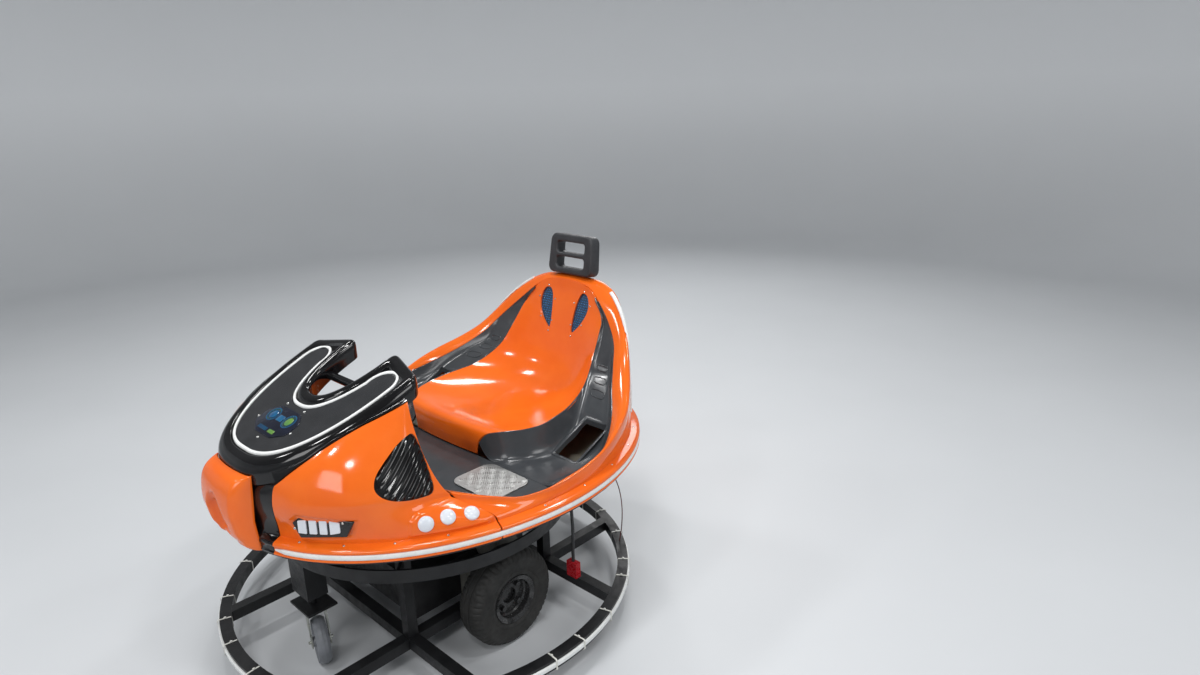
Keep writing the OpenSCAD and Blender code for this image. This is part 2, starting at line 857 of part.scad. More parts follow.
display_x = 391;
display_l = 88;
display_w = 150;

// Dark screen with cut corners on the front of the face.
module display() {
    cut = 18;
    color("#0a0a18")
        translate([ring_x + display_x, 0, console_top(display_x) - 4 + 2 * seam])
            rotate([0, console_slope, 0])
                linear_extrude(2)
                    polygon([for (s = [[1, 1, 0], [1, 1, 1], [-1, 1, 1], [-1, 1, 0],
                                       [-1, -1, 0], [-1, -1, 1], [1, -1, 1], [1, -1, 0]])
                        [s[0] * (display_l / 2 - cut * s[2]), s[1] * (display_w / 2 - cut * (1 - s[2]))]]);
}

module grab_bar() {
    bar_x = 205;
    notch_line = [for (i = [len(console_angles) - 1 : -1 : 0]) console_inner(console_angles[i])];
    half = row_at(notch_line, bar_x + grab_r)[1] - seam;
    color("black")
        translate([ring_x + bar_x, 0, console_top(bar_x) - 32])
            rotate([90, 0, 0])
                cylinder(r = grab_r, h = 2 * half, center = true);
}

// Seat

// Columns: centre x z, half width, edge x z.
seat_rows = [
    [-596, 795, 137, -588, 799],
    [-580, 750, 176, -574, 748],
    [-566, 700, 188, -543, 700],
    [-552, 650, 196, -512, 655],
    [-535, 600, 206, -480, 612],
    [-505, 556, 222, -440, 580],
    [-455, 522, 240, -388, 556],
    [-390, 505, 258, -333, 545],
    [-310, 499, 267, -272, 538],
    [-230, 502, 267, -222, 532],
    [-165, 512, 250, -168, 530],
    [-115, 524, 212, -120, 528],
    [-88, 520, 176, -95, 518],
    [-78, 490, 150, -84, 490],
    [-76, 452, 140, -82, 452]
];
seat_steps = 6;

function seat_point(row, v) =
    let (f = pow(abs(v), 2.4))
    place(mix(row[0], row[3], f), v * row[2], mix(row[1], row[4], f));

// The top row of the seat lies along the middle of the shell's inner edge.
seat_top = [for (j = [-seat_steps : seat_steps])
    let (p = along(rear_edge, len(rear_edge) - 1 - 2 * abs(j) / seat_steps))
    [p.x + seam, (j < 0 ? -1 : 1) * p.y, p.z]];
seat_mesh = concat([seat_top], [for (row = seat_rows)
    [for (j = [-seat_steps : seat_steps]) seat_point(row, j / seat_steps)]]);

// Outline of a vent seen from the front, drawn larger by grow.
vent_outline = [
    [79, 800], [66, 794], [57, 772], [53, 745], [49, 712], [48, 690], [51, 674],
    [66, 686], [84, 706], [99, 730], [106, 752], [105, 776], [94, 795]
];
vent_mid = [76, 742];

module vent_prism(grow) {
    size = [58, 126];
    translate([ring_x - table_rear, 0, 0])
        rotate([90, 0, 90])
            linear_extrude(100)
                polygon([for (p = vent_outline)
                    let (
                        d = p - vent_mid,
                        q = vent_mid + [d.x * (1 + 2 * grow / size.x), d.y * (1 + 2 * grow / size.y)],
                        placed = place(0, q.x, q.y)
                    )
                    [placed.y, placed.z]]);
}

module seat() {
    color("orangered")
        difference() {
            skin(seat_mesh, skin_t, [down, level, down, down]);
            both_sides()
                vent_prism(seam);
        }
}

// A mesh insert lies in each opening, set back from the seat's surface.
module seat_vents() {
    rows = [for (i = [0 : 4]) [for (p = seat_mesh[i]) p]];
    color("#102030")
        intersection() {
            skin(sunk(rows, 2), 2, [free, free, free, free]);
            both_sides()
                vent_prism(0);
        }
}

headrest_slots = [[38, 34], [86, 34]];

// Share of the half thickness, share of the edge's rounding.
headrest_layers = [[1, 1], [0.85, 0.35], [0.55, 0], [-0.55, 0], [-0.85, 0.35], [-1, 1]];

// Outline of the headrest at an inset from its widest section.
function headrest_outline(inset) =
    let (
        w = headrest_w / 2 - inset,
        r = 26,
        top = headrest_h - inset,
        lean_in = 8
    )
    concat(
        [[w - 4, inset], [w, inset + 6]],
        [for (a = [0 : 18 : 90]) [w - lean_in - r + r * cos(a), top - r + r * sin(a)]],
        [for (a = [90 : 18 : 180]) [-w + lean_in + r + r * cos(a), top - r + r * sin(a)]],
        [[-w, inset + 6], [-w + 4, inset]]
    );

module round_slot(w, h, r) {
    translate([-w / 2 + r, -h / 2])
        square([w - 2 * r, h]);
    translate([-w / 2, -h / 2 + r])
        square([w, h - 2 * r]);
    for (x = [-w / 2 + r, w / 2 - r], y = [-h / 2 + r, h / 2 - r])
        translate([x, y])
            circle(r = r, $fn = 32);
}

module headrest() {
    edge = 9;
    slot_w = headrest_w - 76;
    at = place(-628, 0, 0);
    color("#303030")
        translate([at.x, 0, headrest_z + flange_z - table_flange])
            rotate([90, 0, 90])
                rotate([-headrest_lean, 0, 0])
                    difference() {
                        loft([for (s = headrest_layers)
                            [for (p = headrest_outline(edge * s[1]))
                                [p.x, max(p.y, 0), s[0] * headrest_t / 2]]]);
                        for (slot = headrest_slots)
                            translate([0, slot[0], -headrest_t])
                                linear_extrude(2 * headrest_t)
                                    round_slot(slot_w, slot[1], 10);
                    }
}

// Cockpit liner, floor and floor plates

// Opening in the liner for a control stick, one on each side.
stick_x = -292;
stick_y = 345;
stick_l = 130;
stick_w = 84;

// Columns: place along the seat's edge, place along the shell's inner edge, floor height between them.
liner_rows = [
    [1, 14, 786], [2, 13, 736], [3, 12, 684], [4, 11.5, 645], [5, 11, 606], [6, 10, 572],
    [7, 9, 530], [8, 8, 486], [9, 7, 462], [10, 6, 450], [11, 5.5, 450], [12, 5, 450],
    [13, 4.86, 450], [14, 4.711, 450]
];
seat_edge = [for (row = seat_mesh) row[len(row) - 1]];

function liner_section(row) =
    let (
        a = along(seat_edge, row[0]) + [0, seam, 0],
        d = along(rear_edge, row[1]) - [0, seam, 0],
        low = max(place(0, 0, row[2]).z, floor_z),
        b = [mix(a.x, d.x, 0.1), mix(a.y, d.y, 0.1), low],
        c = [mix(a.x, d.x, 0.9), mix(a.y, d.y, 0.9), low]
    )
    concat([a], [for (f = [0.25, 0.5, 0.75]) bez(a, mix(a, b, 0.8), b, mix(b, c, 0.15), f)],
        [mix(b, c, 0.15)], [mix(b, c, 0.5)], [mix(b, c, 0.85)],
        [for (f = [0.33, 0.67]) bez(mix(b, c, 0.85), c, mix(c, d, 0.4), d, f)], [d]);

module liner_side() {
    difference() {
        skin([for (row = liner_rows) liner_section(row)], skin_t, [down, down, down, down], down);
        translate([ring_x + stick_x, stick_y, 400])
            linear_extrude(200)
                square([stick_l, stick_w], center = true);
    }
}

module liner_left() color("gray") liner_side();
module liner_right() color("gray") mirror([0, 1, 0]) liner_side();

// Half width of the floor pan and the height of its edge, where it runs on under the hoods.
floor_front_rows = [[220, 270, 456], [320, 240, 456], [400, 180, 456]];

// Columns: distance from the pan's edge, share of the rise towards it.
floor_turn_up = [[0, 1], [6, 0.55], [15, 0.16], [28, 0]];

floor_edge = concat(
    [for (u = [4.711, 4, 3, 2, 1, 0]) along(rear_edge, u) - [0, seam, 2]],
    [for (row = floor_front_rows) place(row[0], row[1], row[2])]
);

function floor_section(p, shift) =
    let (half = [for (t = floor_turn_up) [p.x + shift, p.y - t[0], mix(floor_z, p.z, t[1])]])
    concat(
        [for (q = half) flip(q)],
        [[p.x + shift, 0, floor_z]],
        [for (k = [len(half) - 1 : -1 : 0]) half[k]]
    );

module floor_pan() {
    color("gray")
        skin([for (i = [0 : len(floor_edge) - 1]) floor_section(floor_edge[i], i == 0 ? seam : 0)],
            skin_t, [keep_x, free, down, down]);
}

plate_t = 3;
plate_corner = 30;
plate_x = [-74, 62];
plate_y = [210, 380];

module floor_plates() {
    size = [plate_x[1] - plate_x[0], plate_y[1] - plate_y[0]];
    color("silver")
        both_sides()
            translate([ring_x + plate_x[0], plate_y[0], floor_z + seam])
                linear_extrude(plate_t)
                    round_plate(size.x, size.y);
}

// A rectangle with round corners.
module round_plate(l, w) {
    translate([plate_corner, 0])
        square([l - 2 * plate_corner, w]);
    translate([0, plate_corner])
        square([l, w - 2 * plate_corner]);
    for (x = [plate_corner, l - plate_corner], y = [plate_corner, w - plate_corner])
        translate([x, y])
            circle(r = plate_corner);
}

// Belly pan

// The bowl's outside starts under the flange, at the foot of its own rim.
belly_top = flange_z - seam - skin_t;
belly_inset = 40;
belly_steps = 7;
belly_turns = 60;

// A ring of the bowl: the flange curve moved inward, then shrunk towards its middle.
function belly_ring(shrink, inset, z) =
    [for (j = [0 : belly_turns - 1])
        let (
            p = flange(-360 * j / belly_turns, inset, z),
            mid = ring_x - body_mid
        )
        [mid + (p.x - mid) * shrink, p.y * shrink, z]];

// Height of the bowl's outside over a point given from the middle of the ring.
function belly_at(x, y = 0) =
    let (
        reach = x > -body_mid ? body_front : body_rear,
        r = norm([(x + body_mid) / (reach - belly_inset), y / (body_half_w - belly_inset)]),
        step = 90 / belly_steps,
        i = min(floor(asin(min(r, 1)) / step), belly_steps - 1),
        f = (r - sin(step * i)) / (sin(step * (i + 1)) - sin(step * i))
    )
    belly_top - belly_depth * mix(cos(step * i), cos(step * (i + 1)), f);

module belly_pan() {
    rim_inset = 2;
    step = 90 / belly_steps;
    outer = concat(
        [for (i = [0 : belly_steps])
            belly_ring(sin(step * i), belly_inset, belly_top - belly_depth * cos(step * i))],
        [belly_ring(1, rim_inset, belly_top)]
    );
    inner = concat(
        [for (i = [0 : belly_steps])
            let (lift = i == belly_steps ? 1 : cos(step * i))
            belly_ring(sin(step * i), belly_inset + skin_t,
                belly_top - belly_depth * cos(step * i) + skin_t * lift)],
        [belly_ring(1, rim_inset, belly_top + skin_t)]
    );
    color("cornsilk")
        bowl(outer, inner);
}

// A bowl between two lists of closed rings, from the pole outward.
module bowl(outer, inner) {
    cols = len(outer[0]);
    last = len(outer) - 1;
    points = concat(
        [outer[0][0]], [for (i = [1 : last]) each outer[i]],
        [inner[0][0]], [for (i = [1 : last]) each inner[i]]
    );
    n = 1 + last * cols;
    function at(s, i, j) = s * n + (i == 0 ? 0 : 1 + (i - 1) * cols + j % cols);
    faces = concat(
        [for (j = [0 : cols - 1]) [at(0, 0, 0), at(0, 1, j + 1), at(0, 1, j)]],
        [for (j = [0 : cols - 1]) [at(1, 0, 0), at(1, 1, j), at(1, 1, j + 1)]],
        [for (i = [1 : last - 1]) for (j = [0 : cols - 1])
            each cell(at(0, i, j), at(0, i, j + 1), at(0, i + 1, j + 1), at(0, i + 1, j))],
        [for (i = [1 : last - 1]) for (j = [0 : cols - 1])
            each cell(at(1, i, j), at(1, i + 1, j), at(1, i + 1, j + 1), at(1, i, j + 1))],
        [for (j = [0 : cols - 1])
            each cell(at(0, last, j), at(0, last, j + 1), at(1, last, j + 1), at(1, last, j))]
    );
    polyhedron(points = points, faces = faces, convexity = 6);
}

// Grilles, lamps and light strips

// A point of a shell's own facets at a flange angle and a place along its section.
function mesh_at(mesh, rows, t, k) =
    let (
        i = max([for (r = [0 : len(rows) - 2]) if (r == 0 || rows[r][0] <= t) r]),
        u = (t - rows[i][0]) / (rows[i + 1][0] - rows[i][0]),
        j = min(floor(k), len(mesh[0]) - 2),
        v = k - j,
        a = mesh[i][j],
        b = mesh[i][j + 1],
        c = mesh[i + 1][j + 1],
        d = mesh[i + 1][j]
    )
    v >= u ? a + v * (b - a) + u * (c - b) : a + u * (d - a) + v * (c - d);

// Directions across a face whose outward normal is n.
function face_x(n) =
    let (h = norm([n.x, n.y]))
    [n.x * n.z / h, n.y * n.z / h, -h];
function face_y(n) =
    let (h = norm([n.x, n.y]))
    [-n.y / h, n.x / h, 0];

module facing(p, n) {
    translate(p)
        rotate([0, acos(n.z), atan2(n.y, n.x)])
            children();
}

function middle(points) =
    let (n = len(points))
    [for (a = [0 : len(points[0]) - 1]) [for (p = points) p[a]] * [for (p = points) 1] / n];

// Surface points drawn in the plane of a face, each moved outward from the middle by grow.
function drawn(points, n, grow) =
    let (m = middle(points))
    [for (p = points) let (q = [(p - m) * face_x(n), (p - m) * face_y(n)]) q + unit(q) * grow];

// Points round the grille on the left hood.
grille_points = [for (p = [
    [207, 296, 668], [232, 297, 662], [257, 299, 652], [297, 305, 626], [325, 310, 604], [336, 318, 585],
    [336, 325, 572], [326, 334, 557], [305, 344, 545], [276, 353, 538], [249, 359, 535], [206, 362, 532],
    [203, 346, 572], [202, 319, 624]
]) place(p[0], p[1], p[2])];
grille_out = unit([0.135, 0.881, 0.453]);

module grille_prism(grow, low, high) {
    facing(middle(grille_points), grille_out)
        translate([0, 0, low])
            linear_extrude(high - low)
                polygon(drawn(grille_points, grille_out, grow));
}

module grilles() {
    color("#181818")
        both_sides()
            intersection() {
                grille_prism(0, -50, 50);
                skin(sunk(hood_mesh, 3), 4, [free, free, free, free]);
            }
}

// Points round the headlamp on the left hood.
headlamp_points = [for (p = [
    [466, 182, 505], [460, 203, 522], [383, 300, 512], [392, 282, 474], [450, 190, 468]
]) place(p[0], p[1], p[2])];
headlamp_out = unit([0.8, 0.6, 0.06]);
headlamp_depth = 12;
headlamp_proud = 7;

module headlamp_prism(grow, low, high) {
    facing(middle(headlamp_points), headlamp_out)
        translate([0, 0, low])
            linear_extrude(high - low)
                polygon(drawn(headlamp_points, headlamp_out, grow));
}

// Columns of a lens on the lamp's face: from and to along it, half height at each end.
lens_rows = [[-48, -28, 15, 17], [-22, -4, 17, 17], [2, 20, 17, 17], [26, 50, 17, 12]];

module headlamps() {
    lens_t = 1.5;
    color("#202020")
        both_sides() {
            headlamp_prism(0, -headlamp_depth, headlamp_proud);
            facing(middle(headlamp_points), headlamp_out)
                translate([0, 0, headlamp_proud])
                    linear_extrude(lens_t)
                        for (r = lens_rows)
                            polygon([[-r[2], r[0]], [-r[3], r[1]], [r[3], r[1]], [r[2], r[0]]]);
        }
}

// Places of the round side lamps on the left hood: flange angle and place along the section.
side_lamp_spots = [[54.5, 4.75], [60.1, 4.85], [65.8, 4.75]];

function hood_at(t, k) = mesh_at(hood_mesh, hood_rows, t, k);

module side_lamp_at(spot) {
    p = hood_at(spot[0], spot[1]);
    across = hood_at(spot[0], spot[1] + 0.5) - hood_at(spot[0], spot[1] - 0.5);
    facing(p, unit(cross(hood_at(spot[0] + 1, spot[1]) - hood_at(spot[0] - 1, spot[1]), across)))
        children();
}

module side_lamp_rod(spot, radius, low, high) {
    side_lamp_at(spot)
        translate([0, 0, low])
            cylinder(r = radius, h = high - low);
}

module side_lamps() {
    r = side_lamp_r;
    lamp_foot = 7;
    lamp_rise = 8;
    color("white")
        both_sides()
            for (spot = side_lamp_spots)
                side_lamp_at(spot)
                    rotate_extrude()
                        polygon([
                            [0, -lamp_foot], [r, -lamp_foot], [r, lamp_rise - 5], [r * 0.92, lamp_rise - 3],
                            [r * 0.7, lamp_rise - 1.5], [r * 0.4, lamp_rise - 0.5], [0, lamp_rise]
                        ]);
}

strip_mid_z = flange_z + flange_h / 2 - 2;

// The strip has its corners where the shells have theirs.
module flange_light() {
    half = concat([for (row = hood_rows) row[0]], [for (row = rear_rows) row[0]]);
    last = len(half) - 1;
    turns = concat(half, [for (i = [1 : last]) 360 - half[last - i]]);
    color("white")
        loft([for (t = turns) [
            flange(t, -seam, strip_mid_z - strip_h / 2),
            flange(t, -seam, strip_mid_z + strip_h / 2),
            flange(t, -strip_t, strip_mid_z + strip_h / 2),
            flange(t, -strip_t, strip_mid_z - strip_h / 2)
        ]]);
}

// Line of the light strip on the rear wall: flange angle and place along the section.
rim_line = [[131, 4.5], [134, 6], [138, 7.3], [142, 8.2], [146, 8.7], [150, 9.1], [157, 9.5]];
rim_steps = 26;

function rear_at(t, k) = mesh_at(rear_mesh, rear_rows, t, k);

function rim_point(i) =
    let (t = mix(rim_line[0][0], rim_line[len(rim_line) - 1][0], i / rim_steps))
    [t, row_at(rim_line, t)[1]];

module rim_lights() {
    half_w = 4.5;
    color("white")
        both_sides()
            pad([for (i = [0 : rim_steps])
                let (
                    q = rim_point(i),
                    p = rear_at(q[0], q[1]),
                    before = rim_point(max(i - 1, 0)),
                    after = rim_point(min(i + 1, rim_steps)),
                    way = rear_at(after[0], after[1]) - rear_at(before[0], before[1]),
                    n = cross(rear_at(q[0] + 0.3, q[1]) - rear_at(q[0] - 0.3, q[1]),
                        rear_at(q[0], q[1] + 0.1) - rear_at(q[0], q[1] - 0.1)),
                    side = unit(cross(n, way))
                )
                [for (j = [-1 : 1]) p + side * half_w * j]], strip_t - 1);
}

// A pad of the given thickness on the outside of a grid of surface points.
module pad(grid, thick) {
    skin(sunk(grid, -thick - 3 * seam), thick, [free, free, free, free]);
}

// Cords

lead_r = 4.5;

// The lead hangs under the belly pan's edge, whose half width sets its place.
lead_y = body_half_w - 103;
lead_route = [for (p = [
    [0, 360], [0, 345], [0, 325], [1, 305], [2, 285], [2, 265], [2, 245], [1, 225], [0, 205], [0, 188], [0, 172]
]) [-124, lead_y + p[0], p[1]]];

// Gland under the belly pan where the lead comes out.
module lead_gland() {
    gland_r = 9;
    foot = lead_route[0];
    head = belly_at(foot.x - ring_x, foot.y - gland_r) - seam;
    color("black")
        translate([foot.x, foot.y, foot.z + seam])
            cylinder(r = gland_r, h = head - foot.z - seam);
}

module charge_lead() {
    color("black")
        cord(lead_route, lead_r, 10);
}

plug_size = [18, 36, 46];

module charge_plug() {
    foot = lead_route[len(lead_route) - 1];
    color("firebrick")
        translate([foot.x - plug_size.x / 2, foot.y - plug_size.y / 2, foot.z - plug_size.z - seam])
            cube(plug_size);
}

feed_r = 1.5;
feed_top = belly_at(-340 - ring_x, 330 - feed_r) - seam;
feed_route = [
    [-340, 330, feed_top], [-342, 334, 370], [-350, 342, 350], [-362, 352, 315], [-372, 358, 280],
    [-380, 360, 240], [-384, 360, 200], [-385, 358, 160], [-384, 355, 125], [-382, 352, 104],
    [-381, 351, ring_top + seam]
];

module ring_feed() {
    color("firebrick")
        cord(feed_route, feed_r, 8);
}

ring();
ring_light();
base_frame();
corner_posts();
hoop();
upper_frame();
front_mast();
rear_mast();
battery_box();
controller();
motor_left();
motor_right();
belly_pan();
rear_shell();
hood_left();
hood_right();
front_panel();
hood_bands();
nose_block();
console();
console_face();
console_lights();
display();
grab_bar();
seat();
seat_vents();
headrest();
liner_left();
liner_right();
floor_pan();
floor_plates();
grilles();
headlamps();
side_lamps();
flange_light();
rim_lights();
lead_gland();
charge_lead();
charge_plug();
ring_feed();
tyre_left();
rim_left();
tyre_right();
rim_right();
front_fork();
front_caster_wheel();
rear_fork();
rear_caster_wheel();
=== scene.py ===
import math

import bpy
import numpy as np
from mathutils import Matrix, Vector


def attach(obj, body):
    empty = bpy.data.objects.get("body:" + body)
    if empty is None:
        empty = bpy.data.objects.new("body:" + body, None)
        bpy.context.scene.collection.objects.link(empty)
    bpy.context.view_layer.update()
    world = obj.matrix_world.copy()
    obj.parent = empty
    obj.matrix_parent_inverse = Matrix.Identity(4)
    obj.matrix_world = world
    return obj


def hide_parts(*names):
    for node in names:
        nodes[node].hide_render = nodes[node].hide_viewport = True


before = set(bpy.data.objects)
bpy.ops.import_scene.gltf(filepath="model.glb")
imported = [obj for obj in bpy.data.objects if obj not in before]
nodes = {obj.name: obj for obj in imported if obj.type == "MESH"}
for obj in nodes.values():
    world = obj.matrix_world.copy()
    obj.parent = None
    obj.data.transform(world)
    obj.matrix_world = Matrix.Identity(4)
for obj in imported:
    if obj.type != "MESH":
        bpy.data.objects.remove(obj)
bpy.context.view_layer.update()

# Camera
# A phone held at standing height in front of the car and to its left, looking
# down over the nose towards the seat.
eye = Vector((1.16452, 1.73123, 1.40133))
view_yaw, view_pitch, view_roll = (math.radians(a) for a in (223.0452, 17.5068, -1.3345))
focal_px, image_px = 768.6, 1200
ahead = Vector((math.cos(view_yaw) * math.cos(view_pitch),
                math.sin(view_yaw) * math.cos(view_pitch), -math.sin(view_pitch)))
across = ahead.cross(Vector((0, 0, 1))).normalized()
above = across.cross(ahead)
right = across * math.cos(view_roll) + above * math.sin(view_roll)
up = above * math.cos(view_roll) - across * math.sin(view_roll)


def put_in_scene(name, data):
    made = bpy.data.objects.new(name, data)
    bpy.context.scene.collection.objects.link(made)
    return made


camera_data = bpy.data.cameras.new("photo_camera")
camera_data.sensor_width = 36
camera_data.lens = focal_px / image_px * camera_data.sensor_width
camera_data.clip_start = 0.05
camera = put_in_scene("photo_camera", camera_data)
camera.matrix_world = Matrix(((right.x, up.x, -ahead.x, eye.x),
                              (right.y, up.y, -ahead.y, eye.y),
                              (right.z, up.z, -ahead.z, eye.z),
                              (0, 0, 0, 1)))
bpy.context.scene.camera = camera

# Charging lead and ring feed
# The lead leaves a gland under the belly and hangs beside the left wheel with a red
# two-pole connector on it. A thin twin wire drops from the belly to the ring's light.


def new_material(name, metallic=0.0, coat=0.0, ior=1.5):
    """A material whose plain values sit on the shader's own sockets."""
    material = bpy.data.materials.new(name)
    material.use_nodes = True
    tree = material.node_tree
    shader = tree.nodes["Principled BSDF"]
    shader.inputs["Metallic"].default_value = metallic
    shader.inputs["Coat Weight"].default_value = coat
    shader.inputs["Coat Roughness"].default_value = 0.04
    shader.inputs["IOR"].default_value = ior
    return material, tree, shader


def node(tree, kind, **values):
    made = tree.nodes.new(kind)
    for key, value in values.items():
        if key in made.inputs:
            made.inputs[key].default_value = value
        else:
            setattr(made, key.lower(), value)
    return made


def noise(tree, scale, detail=3.0, roughness=0.5, squash=(1, 1, 1)):
    """Noise on object coordinates, its value from 0 to 1."""
    where = tree.nodes.new("ShaderNodeTexCoord")
    mapping = tree.nodes.new("ShaderNodeMapping")
    mapping.inputs["Scale"].default_value = squash
    texture = node(tree, "ShaderNodeTexNoise", Scale=scale, Detail=detail, Roughness=roughness)
    tree.links.new(where.outputs["Object"], mapping.inputs["Vector"])
    tree.links.new(mapping.outputs["Vector"], texture.inputs["Vector"])
    return texture.outputs["Fac"]


def spread(tree, value, low, high, start=0.3, end=0.7):
    """The value's range from start to end, stretched to low to high."""
    made = node(tree, "ShaderNodeMapRange")
    made.inputs["From Min"].default_value = start
    made.inputs["From Max"].default_value = end
    made.inputs["To Min"].default_value = low
    made.inputs["To Max"].default_value = high
    tree.links.new(value, made.inputs["Value"])
    return made.outputs["Result"]


def blend_colours(tree, share, first, second):
    made = tree.nodes.new("ShaderNodeMix")
    made.data_type = "RGBA"
    tree.links.new(share, made.inputs["Factor"])
    for socket, colour in ((made.inputs[6], first), (made.inputs[7], second)):
        if isinstance(colour, tuple):
            socket.default_value = (*colour, 1)
        else:
            tree.links.new(colour, socket)
    return made.outputs[2]


def raise_bumps(tree, shader, height, strength, distance=0.001):
    made = node(tree, "ShaderNodeBump", Strength=strength, Distance=distance)
    tree.links.new(height, made.inputs["Height"])
    tree.links.new(made.outputs["Normal"], shader.inputs["Normal"])


def finish_with(name, colour, second, patch, rough, metallic=0.0, coat=0.0,
                grain=900.0, bump=0.15, wear=0.15, ior=1.5):
    """A worn surface of two close colours in patches, with its own grain and gloss."""
    material, tree, shader = new_material(name, metallic, coat, ior)
    patches = noise(tree, patch, 5.0, 0.6)
    fine = noise(tree, grain, 2.0)
    mottled = blend_colours(tree, spread(tree, patches, 0, 1), colour, second)
    tree.links.new(mottled, shader.inputs["Base Color"])
    gloss = spread(tree, noise(tree, patch * 2.7, 4.0, 0.65),
                   max(rough - wear, 0.03), min(rough + wear, 1.0), 0.35, 0.68)
    tree.links.new(gloss, shader.inputs["Roughness"])
    raise_bumps(tree, shader, fine, bump, 0.0006)
    return material


def dress(material, *names):
    """Gives solids that keep their own shape the material of the real piece."""
    for name in names:
        nodes[name].data.materials.clear()
        nodes[name].data.materials.append(material)


def through(table, places):
    """Rows of a table at other values of its first column, on one smooth curve."""
    rows = np.array(table, float)
    x = rows[:, 0]
    steps = np.diff(x)
    slopes = np.diff(rows, axis=0) / steps[:, None]
    tangents = np.empty_like(rows)
    tangents[0], tangents[-1] = slopes[0], slopes[-1]
    share = (steps[1:] / (steps[1:] + steps[:-1]))[:, None]
    tangents[1:-1] = slopes[:-1] * share + slopes[1:] * (1 - share)
    places = np.asarray(places, float)
    i = np.clip(np.searchsorted(x, places, side="right") - 1, 0, len(x) - 2)
    h = steps[i][:, None]
    f = (places - x[i])[:, None] / h
    return ((2 * f**3 - 3 * f**2 + 1) * rows[i] + (f**3 - 2 * f**2 + f) * h * tangents[i]
            + (3 * f**2 - 2 * f**3) * rows[i + 1] + (f**3 - f**2) * h * tangents[i + 1])


def finished(name, mesh, material, body="car", replaced=(), smooth_angle=40):
    """A mesh in metres becomes a piece that rides on its body."""
    mesh.validate()
    mesh.polygons.foreach_set("use_smooth", [True] * len(mesh.polygons))
    mesh.set_sharp_from_angle(angle=math.radians(smooth_angle))
    piece = put_in_scene(name, mesh)
    if material.name not in [m.name for m in mesh.materials if m]:
        mesh.materials.append(material)
    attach(piece, body)
    if replaced:
        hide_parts(*replaced)
    return piece


def mesh_of(name, points, faces):
    """A mesh from points in millimetres."""
    mesh = bpy.data.meshes.new(name)
    mesh.from_pydata([tuple(p * 0.001) for p in np.asarray(points, float)], [], faces)
    mesh.update()
    return mesh


def ring_faces(rows, columns, closed_rows=False):
    """Faces between closed rings of points that follow one another."""
    faces = []
    for i in range(rows if closed_rows else rows - 1):
        for j in range(columns):
            a, b = i * columns + j, i * columns + (j + 1) % columns
            c, d = ((i + 1) % rows) * columns + (j + 1) % columns, ((i + 1) % rows) * columns + j
            faces.append((a, d, c, b))
    return faces


def loft_mesh(name, rings, closed_rows=False):
    """A solid through closed rings of points, its ends capped."""
    rings = np.asarray(rings, float)
    rows, columns = rings.shape[:2]
    faces = ring_faces(rows, columns, closed_rows=closed_rows)
    if not closed_rows:
        faces.append(tuple(range(columns)))
        faces.append(tuple((rows - 1) * columns + j for j in reversed(range(columns))))
    return mesh_of(name, rings.reshape(-1, 3), faces)


def tube_mesh(name, route, radius, sides=16):
    """A round tube along a route of points in millimetres."""
    route = np.array(route, float)
    ahead_of = np.gradient(route, axis=0)
    ahead_of /= np.linalg.norm(ahead_of, axis=1)[:, None]
    side = np.cross(ahead_of[0], (0.31, 0.87, 0.39))
    rings = []
    for point, direction in zip(route, ahead_of):
        side = side - direction * side.dot(direction)
        side = side / np.linalg.norm(side)
        other = np.cross(direction, side)
        turn = np.linspace(0, 2 * math.pi, sides, endpoint=False)[:, None]
        rings.append(point + radius * (np.cos(turn) * side + np.sin(turn) * other))
    return loft_mesh(name, rings)


def fine_route(route, step=5.0):
    """A route's points, closer together on a smooth curve."""
    route = np.array(route, float)
    at = np.concatenate([[0], np.cumsum(np.linalg.norm(np.diff(route, axis=0), axis=1))])
    count = int(at[-1] / step) + 2
    return through(np.column_stack([at, route]), np.linspace(0, at[-1], count))[:, 1:]


sheath = finish_with("cable_sheath", (0.012, 0.012, 0.013), (0.028, 0.028, 0.03), 40, 0.5,
                     grain=1500, bump=0.1)
twin_wire = finish_with("thin_red_wire", (0.16, 0.02, 0.016), (0.05, 0.012, 0.012), 90, 0.45,
                        grain=1500, bump=0.1)
plug_red = finish_with("connector_red", (0.42, 0.012, 0.02), (0.3, 0.01, 0.014), 60, 0.3, grain=800)
dress(sheath, "lead_gland")
dress(plug_red, "charge_plug")

lead_route = [(-124, 407, 360), (-124, 407, 345), (-124, 407, 325), (-124, 408, 305),
              (-124, 409, 285), (-124, 409, 265), (-124, 409, 245), (-124, 408, 225),
              (-124, 407, 205), (-124, 407, 188), (-124, 407, 172)]
lead_d = 0.009
lead_path = fine_route(lead_route)
lead = finished("charging_lead", tube_mesh("charging_lead", lead_path, lead_d * 500), sheath,
                replaced=("charge_lead",))

feed_route = [(-340, 330, 383.8), (-342, 334, 370), (-350, 342, 350), (-362, 352, 315),
              (-372, 358, 280), (-380, 360, 240), (-384, 360, 200), (-385, 358, 160),
              (-384, 355, 125), (-382, 352, 104), (-381, 351, 90.3)]
feed_d = 0.003
feed_path = fine_route(feed_route)
feed = finished("ring_feed_wire", tube_mesh("ring_feed_wire", feed_path, feed_d * 500, 10), twin_wire,
                replaced=("ring_feed",))

# Ring and chassis
# Square steel tube and flat bar, welded and powder coated black, with scuffs where
# the ring touches other cars.
steel_black = finish_with("black_powder_coat", (0.006, 0.0062, 0.007), (0.016, 0.0165, 0.018), 14, 0.42,
                          grain=1300, bump=0.25, wear=0.12, ior=1.4)
dress(steel_black, "ring", "base_frame", "corner_posts", "hoop", "upper_frame", "front_mast",
      "rear_mast")
white_strip = finish_with("white_light_strip", (0.86, 0.87, 0.86), (0.74, 0.75, 0.74), 25, 0.35,
                          grain=700, bump=0.05)


